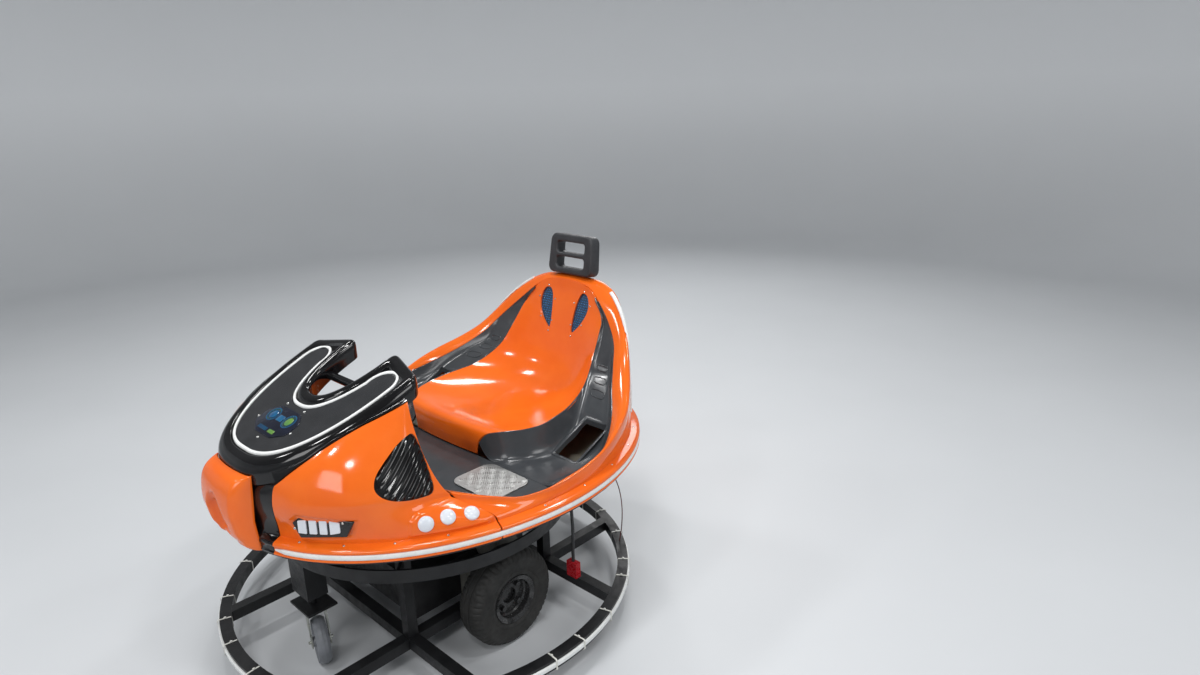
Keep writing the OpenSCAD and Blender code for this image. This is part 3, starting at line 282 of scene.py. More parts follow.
def revolved(name, profile, sides=24, closed=False):
    """A turned shape: radius and height pairs from its foot to its top, round Z."""
    profile = np.array(profile, float)
    turn = np.linspace(0, 2 * math.pi, sides, endpoint=False)
    rings = np.stack([np.outer(profile[:, 0], np.cos(turn)), np.outer(profile[:, 0], np.sin(turn)),
                      np.outer(profile[:, 1], np.ones(sides))], -1)
    return loft_mesh(name, rings[::-1], closed_rows=closed)


def as_shown(carrier):
    """The mesh of an object with its modifiers applied."""
    view = bpy.context.evaluated_depsgraph_get()
    return bpy.data.meshes.new_from_object(carrier.evaluated_get(view))


def repeated(name, unit_mesh, places, turns, material, size=(1, 1, 1)):
    """One small mesh at many places by Geometry Nodes, joined into one plain piece."""
    carrier = bpy.data.meshes.new(name + "_places")
    carrier.from_pydata([tuple(p * 0.001) for p in np.array(places, float)], [], [])
    for label, values in (("turn", turns), ("size", size)):
        layer = carrier.attributes.new(label, "FLOAT_VECTOR", "POINT")
        values = np.broadcast_to(np.array(values, float), (len(places), 3))
        layer.data.foreach_set("vector", values.ravel())
    unit_object = put_in_scene(name + "_unit", unit_mesh)
    carrier_object = put_in_scene(name + "_carrier", carrier)
    tree = bpy.data.node_groups.new(name + "_tree", "GeometryNodeTree")
    sockets = tree.interface
    sockets.new_socket("Places", in_out="INPUT", socket_type="NodeSocketGeometry")
    shape = sockets.new_socket("Shape", in_out="INPUT", socket_type="NodeSocketObject")
    finish = sockets.new_socket("Finish", in_out="INPUT", socket_type="NodeSocketMaterial")
    sockets.new_socket("Pieces", in_out="OUTPUT", socket_type="NodeSocketGeometry")
    given, result = tree.nodes.new("NodeGroupInput"), tree.nodes.new("NodeGroupOutput")
    info = tree.nodes.new("GeometryNodeObjectInfo")
    turn = node(tree, "GeometryNodeInputNamedAttribute", Name="turn", data_type="FLOAT_VECTOR")
    grow = node(tree, "GeometryNodeInputNamedAttribute", Name="size", data_type="FLOAT_VECTOR")
    euler = tree.nodes.new("FunctionNodeEulerToRotation")
    spots = tree.nodes.new("GeometryNodeInstanceOnPoints")
    real = tree.nodes.new("GeometryNodeRealizeInstances")
    paint = tree.nodes.new("GeometryNodeSetMaterial")
    for out, into in ((given.outputs["Places"], spots.inputs["Points"]),
                      (given.outputs["Shape"], info.inputs["Object"]),
                      (info.outputs["Geometry"], spots.inputs["Instance"]),
                      (turn.outputs["Attribute"], euler.inputs["Euler"]),
                      (euler.outputs["Rotation"], spots.inputs["Rotation"]),
                      (grow.outputs["Attribute"], spots.inputs["Scale"]),
                      (spots.outputs["Instances"], real.inputs["Geometry"]),
                      (real.outputs["Geometry"], paint.inputs["Geometry"]),
                      (given.outputs["Finish"], paint.inputs["Material"]),
                      (paint.outputs["Geometry"], result.inputs["Pieces"])):
        tree.links.new(out, into)
    change = carrier_object.modifiers.new("repeat", "NODES")
    change.node_group = tree
    change[shape.identifier] = unit_object
    change[finish.identifier] = material
    joined = as_shown(carrier_object)
    joined.name = name
    for made in (unit_object, carrier_object):
        bpy.data.objects.remove(made)
    for label in ("turn", "size"):
        if label in joined.attributes:
            joined.attributes.remove(joined.attributes[label])
    return finished(name, joined, material)


ring_x, ring_r, ring_top, tube_w, ring_strip_h = 60.5, 579, 90, 30, 14
strip_low = ring_top - tube_w / 2 - ring_strip_h / 2
ring_strip = [(ring_r - 0.2, strip_low), (ring_r + 3, strip_low), (ring_r + 4.6, strip_low + 1.6),
              (ring_r + 5, strip_low + 4), (ring_r + 5, strip_low + 10),
              (ring_r + 4.6, strip_low + 12.4), (ring_r + 3, strip_low + 14),
              (ring_r - 0.2, strip_low + 14)]
strip_mesh = revolved("ring_light_strip", ring_strip, 240, closed=True)
strip_mesh.transform(Matrix.Translation((ring_x * 0.001, 0, 0)))
finished("ring_light_strip", strip_mesh, white_strip, replaced=("ring_light",))

tie_nylon = finish_with("white_nylon", (0.8, 0.8, 0.76), (0.66, 0.66, 0.6), 60, 0.4, grain=1200,
                        bump=0.1)
tie_out, tie_in, tie_h = 6.2, -31.2, 16.0
tie_path = [(tie_out, -tie_h + 3), (tie_out, tie_h - 3), (tie_out - 3, tie_h), (tie_in + 3, tie_h),
            (tie_in, tie_h - 3), (tie_in, -tie_h + 3), (tie_in + 3, -tie_h), (tie_out - 3, -tie_h)]
tie_rings = [[(x, -2, z), (x, 2, z), (x * 0.94 - 0.7, 2, z * 0.95), (x * 0.94 - 0.7, -2, z * 0.95)]
             for x, z in tie_path]
tie_mesh = loft_mesh("tie_band", tie_rings, closed_rows=True)
tie_count = 28
tie_angles = [360 / tie_count * (k + 0.4) + 2.5 * math.sin(k * 2.3) for k in range(tie_count)]
tie_places = [(ring_x + ring_r * math.cos(math.radians(a)), ring_r * math.sin(math.radians(a)),
               ring_top - tube_w / 2) for a in tie_angles]
tie_turns = [(0, 0, math.radians(a)) for a in tie_angles]
repeated("ring_cable_ties", tie_mesh, tie_places, tie_turns, tie_nylon)
head_mesh = revolved("tie_head", [(0, 0), (3.4, 0), (3.6, 1), (3.4, 4.4), (2.4, 5.2), (0, 5.2)], 8)
head_r, head_z = ring_r - 14, ring_top + 0.6
head_places = [(ring_x + head_r * math.cos(math.radians(a)), head_r * math.sin(math.radians(a)), head_z)
               for a in tie_angles]
repeated("ring_tie_heads", head_mesh, head_places, tie_turns, tie_nylon,
         size=(1, 0.8, 0.8))
case_black = finish_with("black_case", (0.012, 0.012, 0.013), (0.025, 0.025, 0.026), 18, 0.5, bump=0.2)
motor_paint = finish_with("grey_motor_casting", (0.09, 0.09, 0.08), (0.16, 0.155, 0.14), 22, 0.55,
                          bump=0.4)
dress(case_black, "battery_box", "controller")
dress(motor_paint, "motor_left", "motor_right")

# Wheels and casters
# Air-filled tyres with three ribs and notched shoulders on black pressed rims, and two
# zinc casters with grey rubber wheels.
tyre_rubber = finish_with("scuffed_tyre", (0.012, 0.012, 0.0115), (0.03, 0.029, 0.027), 16, 0.75,
                          grain=500, bump=0.4)
rim_black = finish_with("black_rim", (0.012, 0.012, 0.013), (0.03, 0.03, 0.03), 30, 0.25, coat=0.5)
zinc = finish_with("zinc_plate", (0.55, 0.56, 0.53), (0.4, 0.41, 0.36), 35, 0.35, metallic=1.0,
                   grain=600)
caster_grey = finish_with("grey_caster_rubber", (0.2, 0.21, 0.23), (0.13, 0.14, 0.155), 30, 0.5)
tyre_r, tyre_w, tyre_mid_y, side_r, bead_r = 133, 86, 333, 26, 62
crown_r = tyre_r - side_r
edge_y = -tyre_w / 2
section = [(bead_r + 0.3, -31), (bead_r + 5, -38), (bead_r + 12, edge_y), (bead_r + 18, edge_y - 0.2),
           (bead_r + 20, edge_y + 1.2), (bead_r + 22, edge_y)]
section += [(crown_r + side_r * math.cos(a), edge_y + side_r + side_r * math.sin(a))
            for a in np.radians(range(-90, 1, 9))]
half_section = np.array(section)
across_crown = np.linspace(-tyre_w / 2 + side_r, tyre_w / 2 - side_r, 24)[1:-1]
full_section = np.concatenate([half_section, np.stack([tyre_r + 0 * across_crown, across_crown], 1),
                               (half_section * (1, -1))[::-1]])
groove_y, groove_half_w, groove_deep = 8.5, 1.4, 2.6
notch_step, notch_share, notch_deep = 7.5, 0.24, 3.0
tyre_rings = []
for t in np.linspace(0, 2 * math.pi, 288, endpoint=False):
    step_at = (math.degrees(t) % notch_step) / notch_step
    radius, width = full_section[:, 0], full_section[:, 1]
    groove = groove_deep * (np.abs(np.abs(width) - groove_y) < groove_half_w) * (radius > tyre_r - 1)
    shoulder = np.clip((np.abs(width) - 16) / 4, 0, 1) * (radius > tyre_r - 16)
    r = radius - groove - shoulder * (step_at < notch_share) * notch_deep
    tyre_rings.append(np.stack([r * math.cos(t), width, r * math.sin(t)], -1))
for side, sign in (("left", 1), ("right", -1)):
    name = "tyre_" + side + "_tread"
    rings = np.array(tyre_rings) + (ring_x, sign * tyre_mid_y, tyre_r)
    finished(name, loft_mesh(name, rings[::-1], closed_rows=True), tyre_rubber,
             body="wheel_" + side, replaced=("tyre_" + side,), smooth_angle=50)
dress(rim_black, "rim_left", "rim_right")
dress(zinc, "front_fork", "rear_fork")
dress(caster_grey, "front_caster_wheel", "rear_caster_wheel")

# Rear shell and hoods
# Orange glass-fibre mouldings over one flange line, screwed down along their ledge. The
# tables give the shoulder and the inner edge at angles round the car, in millimetres
# from the middle of the ring.
half_w, reach_front, reach_rear, body_mid = 510, 620, 600, 100
flange_z = 415
skin_t, seam = 5, 0.3
console_w, console_tip, console_rear, console_z = 488, 518, 165, 622
console_slope = math.tan(math.radians(22.4))


def unit(v):
    return v / np.maximum(np.linalg.norm(v, axis=-1, keepdims=True), 1e-9)


def flange(t, inset, z):
    """Points of the flange line at eccentric angles, moved inward by inset."""
    t = np.radians(np.asarray(t, float))
    reach = np.where(np.cos(t) > 0, reach_front, reach_rear)
    out = unit(np.stack([np.cos(t) / reach, np.sin(t) / half_w], -1))
    return np.stack([ring_x - body_mid + reach * np.cos(t) - inset * out[..., 0],
                     half_w * np.sin(t) - inset * out[..., 1], z + 0 * t], -1)


def console_top(x):
    return console_z + (console_tip - x) * console_slope


def console_edge_y(x):
    share = np.clip((x - console_rear) / (console_tip - console_rear), 0, 1)
    return console_w / 2 * (1 - share**2) ** (1 / 2.6)


# Columns: flange angle, shoulder x y z, inner edge x, gap to the console, depth below its top,
# bulge of the crown, its bow to the front.
hood_rows = [
    (15.0, 490, 139, 540, 478, 11, 51, 20, 0),
    (22, 470, 197, 545, 452, 6, 36, 26, 0),
    (30, 437, 250, 550, 412, 4, 22, 30, 0),
    (38, 394, 298, 552, 366, 4, 14, 30, 0),
    (46, 340, 332, 552, 308, 6, 14, 26, 0),
    (54, 284, 352, 546, 254, 12, 20, 22, 6),
    (62, 226, 362, 530, 214, 18, 24, 16, 16),
    (69.6, 168, 362, 514, 193, 18, 27, 8, 28)]

# Columns: flange angle, shoulder x y z, inner edge x y z, bulge of the crown.
rear_rows = [
    (69.9, 164, 364, 513, 150, 316, 501, 4),
    (72, 124, 402, 503, 112, 362, 490, 4),
    (74.5, 84, 434, 495, 76, 404, 480, 4),
    (77.5, 42, 460, 486, 42, 440, 473, 4),
    (82, -20, 476, 482, -20, 458, 470, 4),
    (90, -100, 482, 484, -110, 458, 472, 5),
    (98, -184, 480, 492, -190, 462, 482, 6),
    (106, -265, 474, 512, -262, 458, 503, 8),
    (112, -325, 462, 540, -318, 430, 525, 12),
    (118, -385, 438, 567, -372, 392, 552, 14),
    (125, -445, 396, 597, -428, 342, 590, 16),
    (133, -505, 345, 640, -485, 296, 635, 18),
    (141, -557, 292, 705, -532, 258, 688, 18),
    (149, -597, 240, 766, -565, 205, 742, 18),
    (157, -628, 185, 808, -585, 150, 790, 16),
    (165, -645, 125, 830, -597, 105, 820, 14),
    (173, -652, 60, 836, -602, 55, 832, 12),
    (180, -654, 0, 838, -604, 0, 836, 12)]

# Columns: inset and height of the flange's two beads with the groove between them.
lip_rows = [(8, 0), (2, 0), (-2, 0.8), (-3.6, 2.6), (-3.8, 4.6), (-3, 6.6), (-0.6, 8), (0.1, 8.4),
            (0.2, 14), (0.2, 20.4), (-0.6, 21), (-2.8, 22.4), (-3.6, 24.6), (-3.4, 27), (-1.8, 30),
            (2, 32.4), (8, 33.8), (14, 35.2), (22, 37)]
wall_steps, crown_steps = 26, 16


def bez(p, q, r, s, f):
    g = 1 - f
    return g**3 * p + 3 * g * g * f * q + 3 * g * f * f * r + f**3 * s


def shell_grid(t, shoulder, edge, bulge, bow):
    """Grid of a shell: a row per angle, columns from the flange up and over to the inner edge."""
    t = np.asarray(t, float)
    columns = [flange(t, inset, flange_z + rise) for inset, rise in lip_rows]
    foot = columns[-1]
    lift = np.zeros_like(foot)
    lift[:, 2] = (shoulder[:, 2] - foot[:, 2]) * 0.45
    swell = np.stack([bow, 0 * bow, bulge], -1)
    cover = edge - shoulder
    for k in range(1, wall_steps + 1):
        columns.append(bez(foot, foot + lift, shoulder - lift, shoulder, k / wall_steps))
    for k in range(1, crown_steps + 1):
        columns.append(bez(shoulder, shoulder + swell + cover * 0.12, edge - cover * 0.4 + swell,
                           edge, k / crown_steps))
    return np.stack(columns, 1)


def normals_of(grid):
    along = np.gradient(grid, axis=0)
    aside = np.gradient(grid, axis=1)
    return unit(np.cross(along, aside))


def face_axes(normal):
    """The two directions of a face drawn flat, one sloping down it and one level."""
    n = unit(np.array(normal, float))
    h = math.hypot(n[0], n[1])
    return np.stack([(n[0] * n[2] / h, n[1] * n[2] / h, -h), (-n[1] / h, n[0] / h, 0)], 1)


def drawn(points, normal, grow=0.0):
    """Surface points in the plane of a face, moved outward from their middle by grow."""
    points = np.array(points, float)
    flat = (points - points.mean(axis=0)) @ face_axes(normal)
    return flat + unit(flat) * grow


grille_points = [(p[0] + ring_x, p[1], p[2]) for p in (
    (207, 296, 668), (232, 297, 662), (257, 299, 652), (297, 305, 626), (325, 310, 604),
    (336, 318, 585), (336, 325, 572), (326, 334, 557), (305, 344, 545), (276, 353, 538),
    (249, 359, 535), (206, 362, 532), (203, 346, 572), (202, 319, 624))]
grille_out = (0.135, 0.881, 0.453)
grille_mid = np.mean(grille_points, axis=0)
headlamp_points = [(p[0] + ring_x, p[1], p[2]) for p in (
    (466, 182, 505), (460, 203, 522), (383, 300, 512), (392, 282, 474), (450, 190, 468))]
headlamp_out = (0.8, 0.6, 0.06)
headlamp_mid = np.mean(headlamp_points, axis=0)


def depth_inside(points, outline):
    """How deep plane points lie inside a closed outline; negative outside it."""
    outline = np.array(outline, float)
    ends = np.roll(outline, -1, axis=0)
    points = points[..., None, :]
    way = ends - outline
    along = np.clip(((points - outline) * way).sum(-1) / (way**2).sum(-1), 0, 1)
    far = np.linalg.norm(points - outline - way * along[..., None], axis=-1).min(-1)
    level = (outline[:, 1] > points[..., 1]) != (ends[:, 1] > points[..., 1])
    rise = np.where(way[:, 1] == 0, 1e-9, way[:, 1])
    crossing = outline[:, 0] + (points[..., 1] - outline[:, 1]) / rise * way[:, 0]
    inside = (level & (points[..., 0] < crossing)).sum(-1) % 2 == 1
    return np.where(inside, far, -far)


def raised(grid, flat, outline, height, soft):
    """The surface lifted along its normals where its flat drawing lies inside an outline."""
    share = np.clip(depth_inside(flat, outline) / soft + 0.5, 0, 1)
    return grid + normals_of(grid) * (height * share**2 * (3 - 2 * share))[..., None]


# Outline of the raised field under the side lamps, seen from the side.
lamp_field = [(290, 460), (284, 494), (264, 507), (157, 503), (70, 474), (132, 456)]
field_h, field_soft, recess_deep, recess_w = 5, 7, 4.5, 9


def hood_grid(angles):
    rows = through(hood_rows, angles)
    shoulder = rows[:, 1:4] + (ring_x, 0, 0)
    x = rows[:, 4]
    edge = np.stack([x + ring_x, console_edge_y(x) + rows[:, 5], console_top(x) - rows[:, 6]], -1)
    grid = shell_grid(rows[:, 0], shoulder, edge, rows[:, 7], rows[:, 8])
    flat = (grid - headlamp_mid) @ face_axes(headlamp_out)
    recess = drawn(headlamp_points, headlamp_out, recess_w)
    grid = raised(grid, flat, recess, -recess_deep, recess_w)
    return raised(grid, grid[..., (0, 2)] - (ring_x, 0), lamp_field, field_h, field_soft)


def rear_grid(angles):
    rows = through(rear_rows, angles)
    return shell_grid(rows[:, 0], rows[:, 1:4] + (ring_x, 0, 0), rows[:, 4:7] + (ring_x, 0, 0),
                      rows[:, 7], 0 * rows[:, 7])


def slab_mesh(name, top, low):
    """A closed solid between two grids of points."""
    rows, columns = top.shape[:2]
    count = rows * columns
    faces = []
    for i in range(rows - 1):
        for j in range(columns - 1):
            a, b, c, d = (i * columns + j, (i + 1) * columns + j,
                          (i + 1) * columns + j + 1, i * columns + j + 1)
            faces.append((a, b, c, d))
            faces.append((count + a, count + d, count + c, count + b))
    edge = ([(i, 0) for i in range(rows)] + [(rows - 1, j) for j in range(1, columns)]
            + [(i, columns - 1) for i in range(rows - 2, -1, -1)]
            + [(0, j) for j in range(columns - 2, 0, -1)])
    loop = [i * columns + j for i, j in edge]
    for a, b in zip(loop, loop[1:] + loop[:1]):
        faces.append((b, a, count + a, count + b))
    return mesh_of(name, np.concatenate([top.reshape(-1, 3), low.reshape(-1, 3)]), faces)


def sheet_mesh(name, grid, depth, roll=1.5, sides=(1, 1, 1, 1)):
    """A sheet under a grid of points, its edges rolled over on the sides that say so."""
    grid = np.array(grid, float)
    normals = normals_of(grid)
    top = np.pad(grid, ((1, 1), (1, 1), (0, 0)), mode="edge")
    facing = np.pad(normals, ((1, 1), (1, 1), (0, 0)), mode="edge")
    for axis, end, on in ((0, 0, sides[0]), (0, -1, sides[1]), (1, 0, sides[2]), (1, -1, sides[3])):
        step = 1 if end == 0 else -1
        border, inner = end + step, end + 2 * step
        take = (lambda i: (i,)) if axis == 0 else (lambda i: (slice(None), i))
        gap = top[take(inner)] - top[take(border)]
        reach = np.minimum(np.linalg.norm(gap, axis=-1, keepdims=True) * 0.6, roll * on)
        top[take(end)] -= facing[take(end)] * roll * on
        top[take(border)] += unit(gap) * reach
    low = top - facing * depth
    low[0], low[-1], low[:, 0], low[:, -1] = (
        top[0] - facing[0] * (depth - roll), top[-1] - facing[-1] * (depth - roll),
        top[:, 0] - facing[:, 0] * (depth - roll), top[:, -1] - facing[:, -1] * (depth - roll))
    return slab_mesh(name, top, low)


def solid_of(name, outline, low, high):
    """A prism over a closed outline of plane points."""
    count = len(outline)
    points = [(x, y, low) for x, y in outline] + [(x, y, high) for x, y in outline]
    faces = [tuple(reversed(range(count))), tuple(range(count, 2 * count))]
    faces += [(k, (k + 1) % count, count + (k + 1) % count, count + k) for k in range(count)]
    return mesh_of(name, points, faces)


def placed(mesh, matrix, flip=False):
    mesh.transform(matrix)
    if flip:
        mesh.transform(Matrix.Diagonal((1, -1, 1, 1)))
        mesh.flip_normals()
    return mesh


def carved(mesh, cutters, operation="DIFFERENCE"):
    """The mesh with closed cutter meshes taken away from it, or the part that they share."""
    body = put_in_scene("carved_body", mesh)
    tools = [put_in_scene("carving_tool", cutter) for cutter in cutters]
    for tool in tools:
        change = body.modifiers.new("carve", "BOOLEAN")
        change.object, change.operation, change.solver = tool, operation, "EXACT"
    shape = as_shown(body)
    for made in [body] + tools:
        bpy.data.objects.remove(made)
    return shape


def on_both_sides(name, mesh, material, replaced=None, smooth_angle=40):
    """The left piece and its mirror image; a %s in a name stands for the side."""
    for side in ("left", "right"):
        own = placed(mesh.copy(), Matrix.Identity(4), flip=side == "right")
        solids = (replaced.replace("%s", side),) if replaced else ()
        finished(name % side, own, material, replaced=solids, smooth_angle=smooth_angle)


def facing_matrix(point, normal):
    """Places a shape drawn flat on a surface point, its Z along the normal, in metres."""
    n = Vector(unit(np.array(normal, float)))
    turn = Matrix.Rotation(math.atan2(n.y, n.x), 4, "Z") @ Matrix.Rotation(math.acos(n.z), 4, "Y")
    return Matrix.Translation(Vector(point) * 0.001) @ turn


def rounded_outline(points, rounds=2):
    """A closed outline with its corners cut again and again towards a smooth line."""
    points = np.array(points, float)
    for _ in range(rounds):
        ahead = np.roll(points, -1, axis=0)
        points = np.stack([points * 0.75 + ahead * 0.25, points * 0.25 + ahead * 0.75], 1).reshape(
            -1, points.shape[1])
    return points


def grille_cutter(grow):
    outline = rounded_outline(drawn(grille_points, grille_out, grow))
    return placed(solid_of("grille_outline", outline, -50, 50), facing_matrix(grille_mid, grille_out))


def headlamp_cutter(grow, low, high):
    outline = drawn(headlamp_points, headlamp_out, grow)
    return placed(solid_of("headlamp_outline", outline, low, high),
                  facing_matrix(headlamp_mid, headlamp_out))


orange = finish_with("orange_gelcoat", (0.9, 0.165, 0.014), (0.84, 0.135, 0.01), 9, 0.12, grain=250,
                     bump=0.02, wear=0.03)
hood_start, hood_end, opening_gap = 15, 69.6, 0.6
hood_surface = hood_grid(np.linspace(hood_start, hood_end, 116))
hood = sheet_mesh("hood_moulding", hood_surface, skin_t)
hood = carved(hood, [grille_cutter(opening_gap), headlamp_cutter(opening_gap, -14, 20)])
on_both_sides("hood_%s_moulding", hood, orange, "hood_%s", smooth_angle=32)

rear_half = rear_grid(np.concatenate([np.linspace(rear_rows[0][0], 178, 92), [180]]))
rear_surface = np.concatenate([rear_half, (rear_half * (1, -1, 1))[-2::-1]])
finished("rear_shell_moulding", sheet_mesh("rear_shell_moulding", rear_surface, skin_t), orange,
         replaced=("rear_shell",))

screw_steel = finish_with("bright_screw", (0.72, 0.72, 0.7), (0.5, 0.5, 0.48), 300, 0.25,
                          metallic=1.0, grain=2500)
screw_profile = [(0, -1.5), (3.6, -1.5), (3.7, 0.2), (3.4, 1.2), (2.6, 1.9), (1.5, 2.1), (1.2, 1.1),
                 (0, 1.1)]
screw_mesh = revolved("pan_head", screw_profile, 14)
ledge_inset, ledge_rise = 15.5, 35.4
ledge_spots = [flange(t * sign, ledge_inset, flange_z + ledge_rise)
               for t in (22, 34, 46, 58, 82, 95, 108, 121, 134, 147, 160) for sign in (1, -1)]
repeated("ledge_screws", screw_mesh, ledge_spots, (0, 0, 0), screw_steel,
         size=(0.9, 0.9, 0.8))

# Light strips of the body
# Milky silicone strips: one lies in the flange from hood to hood round the back, and one
# climbs the outside of the rear wall on each side.
strip_count, strip_mid, end_steps = 300, 14.5, 3
strip_turns = np.concatenate([np.linspace(15.6, 178, strip_count // 2),
                              np.linspace(180, 344.4, strip_count // 2)])
to_end = np.minimum(np.arange(strip_count), np.arange(strip_count)[::-1])
strip_rings = []
for t, share in zip(strip_turns, np.minimum(1, to_end / end_steps)):
    tall = 6.5 * (0.35 + 0.65 * share)
    profile = [(0.3, -tall), (2.4, -tall), (3.8, -tall * 0.8), (4.4, 0), (3.8, tall * 0.8), (2.4, tall),
               (0.3, tall)]
    strip_rings.append([flange(t, -out * (0.5 + 0.5 * share), flange_z + strip_mid + up)
                        for out, up in profile])
strip_mesh = loft_mesh("flange_light_strip", np.array(strip_rings)[:, ::-1])
finished("flange_light_strip", strip_mesh, white_strip, replaced=("flange_light",),
         smooth_angle=50)

# Columns: flange angle and place along the section, where 3 is the ledge and 8 the shoulder.
rim_line = [(131, 4.5), (134, 6), (138, 7.3), (142, 8.2), (146, 8.7), (150, 9.1), (157, 9.5)]
rim_fine = through(rim_line, np.linspace(131, 157, 60))
rim_rows = rear_grid(rim_fine[:, 0])
rim_at = np.where(rim_fine[:, 1] < 8, len(lip_rows) - 1 + wall_steps * (rim_fine[:, 1] - 3) / 5,
                  len(lip_rows) - 1 + wall_steps + crown_steps * (rim_fine[:, 1] - 8) / 4)
low_at = rim_at.astype(int)
part = (rim_at - low_at)[:, None]
pick = np.arange(len(rim_at))
rim_points = rim_rows[pick, low_at] * (1 - part) + rim_rows[pick, low_at + 1] * part
rim_normals = normals_of(rim_rows)[pick, low_at]
rim_side = unit(np.cross(rim_normals, np.gradient(rim_points, axis=0)))
rim_profile = [(-6, -1), (-6, 2.2), (-4.6, 3.8), (0, 4.4), (4.6, 3.8), (6, 2.2), (6, -1)]
rim_rings = np.stack([rim_points + rim_side * w + rim_normals * h for w, h in rim_profile], 1)
on_both_sides("rim_strip_%s", loft_mesh("rim_strip", rim_rings[:, ::-1]), white_strip,
              "rim_lights", smooth_angle=50)

# Front panel, bands and nose block
# Black gelcoat between the hoods and beside the console, and the orange block with its
# arched scoop in front of it.
gloss_black = finish_with("black_gelcoat", (0.003, 0.003, 0.0035), (0.006, 0.006, 0.007), 20, 0.09,
                          grain=250, bump=0.04, wear=0.03)
nose_half_w = 92
front_profile = np.array([(520, 415), (523, 442), (524, 450), (525, 458), (527, 474), (528, 492),
                          (527, 510), (525, 526), (523, 538), (521, 552), (518, 566), (514, 576),
                          (505, 584), (488, 589)], float)
front_steps = 40


def even(line, count):
    """A line of points resampled at even steps."""
    line = np.array(line, float)
    at = np.concatenate([[0], np.cumsum(np.linalg.norm(np.diff(line, axis=0), axis=1))])
    return through(np.column_stack([at, line]), np.linspace(0, at[-1], count))[:, 1:]


front_middle = even(np.insert(front_profile + (ring_x, 0), 1, 0, axis=1), front_steps)
front_side = even(hood_surface[0][2:], front_steps) - (0, seam, 0)


def front_point(level, y):
    """Points of the front at levels of its profile and distances from the middle."""
    middle, side = front_middle[level], front_side[level]
    share = (y / side[..., 1]) ** 2
    return np.stack([middle[..., 0] * (1 - share) + side[..., 0] * share, y + 0 * share,
                     middle[..., 2] * (1 - share) + side[..., 2] * share], -1)


levels = np.arange(front_steps)
panel = np.array([front_point(levels, share * front_side[:, 1]) for share in np.linspace(-1, 1, 49)])
finished("front_panel_moulding", sheet_mesh("front_panel_moulding", panel, skin_t), gloss_black,
         replaced=("front_panel",))

band_rows = through(hood_rows, np.linspace(hood_start, hood_end, 48))
band_x = band_rows[:, 4]
band_edge = np.stack([band_x + ring_x, console_edge_y(band_x) + band_rows[:, 5] - seam,
                      console_top(band_x) - band_rows[:, 6] + 3], -1)
band_inner = np.stack([band_x + ring_x, console_edge_y(band_x) + seam,
                       np.maximum(console_top(band_x) - 22, band_edge[:, 2])], -1)
band_columns = [band_edge * (1 - f) + band_inner * f + (0, 0, 2.6 * math.sin(math.pi * f))
                for f in np.linspace(0, 1, 9)]
band_grid = np.stack(band_columns, 1)
on_both_sides("hood_band_%s", sheet_mesh("hood_band", band_grid, 3, 0.8), gloss_black,
              "hood_bands")

# Columns: height, reach of the nose block beyond the middle of the front.
nose_rows = [(415, 529), (420, 536), (430, 545), (442, 550), (458, 558), (474, 562), (492, 565),
             (510, 568), (530, 568), (550, 566), (566, 563), (578, 559), (588, 553), (596, 545),
             (601, 535), (603, 526), (603.5, 519)]
scoop_half_w, scoop_low, scoop_high, scoop_deep = 46, 436, 552, 22
fade_side, fade_arch, fade_foot, shelf_z = 1.6, 2.2, 7.0, 520
nose_table = [(i, *row) for i, row in enumerate(nose_rows)]
nose_z, nose_reach = through(nose_table, np.linspace(0, len(nose_rows) - 1, 90))[:, 1:].T
side_round = 20.0
turn = np.linspace(0, math.pi / 2, 12)
nose_y = np.concatenate([-(nose_half_w - side_round) - side_round * np.cos(turn),
                         np.linspace(-(nose_half_w - side_round), nose_half_w - side_round, 50)[1:-1],
                         (nose_half_w - side_round) + side_round * np.cos(turn[::-1])])
nose_share = np.concatenate([np.sin(turn), np.ones(48), np.sin(turn[::-1])])
nose_grid = []
for y, share in zip(nose_y, nose_share):
    sweep = reach_front * 0.95 * (1 - math.sqrt(1 - (y / half_w) ** 2))
    back = np.interp(nose_z, (415, 492, 560, 604), (519, 524, 518, 515))
    arch = scoop_high - (scoop_high - scoop_low) * 0.42 * (y / scoop_half_w) ** 2
    inside = (1 / (1 + np.exp((abs(y) - scoop_half_w) / fade_side))
              / (1 + np.exp((nose_z - arch) / fade_arch))
              / (1 + np.exp((scoop_low - nose_z) / fade_foot)))
    shelf = 0.35 / (1 + np.exp((nose_z - shelf_z) / 2.0)) + 0.65
    x = back + (nose_reach - scoop_deep * inside * shelf - back) * share
    nose_grid.append(np.stack([x - sweep + ring_x, y + 0 * nose_z, nose_z], -1))
nose_mesh = sheet_mesh("nose_block_moulding", np.array(nose_grid), 3, 0.5)
finished("nose_block_moulding", nose_mesh, orange, replaced=("nose_block",),
         smooth_angle=50)

# Console
# A thick black horseshoe with rounded rims, a grey face, one closed line of white light
# and a dark instrument panel with two dials.
arm_inner_x, notch_x, notch_w, rim_w, closing_from, closing_over = 124, 290, 88, 22, 83, 6
console_rim = [(0, -48), (0, -36), (0, -25), (1, -18), (4, -10), (9, -4), (15, -0.5), (22, 0),
               (28, -0.5), (32, -2), (34, -6)]
notch_rim = [(32, -6), (31, -1), (28, 2.5), (22, 4.5), (15, 4.5), (9, 3), (4, -1), (1, -7), (0, -16),
             (0, -30), (0, -48)]
arm_ends = [(4, 0.6, 0.3), (9, 2.5, 1.2), (14, 6.5, 3.2), (18, 12, 7), (20.5, 17, 11), (21, 20, 14)]


def console_outer(a):
    a = np.radians(a)
    return np.array([console_rear + (console_tip - console_rear) * np.cos(a),
                     console_w / 2 * np.sin(a) ** (1 / 1.3)])


def console_inner(a):
    a = np.radians(a)
    return np.array([arm_inner_x + (notch_x - arm_inner_x) * np.cos(a),
                     notch_w * np.sin(a) ** (1 / 1.3)])


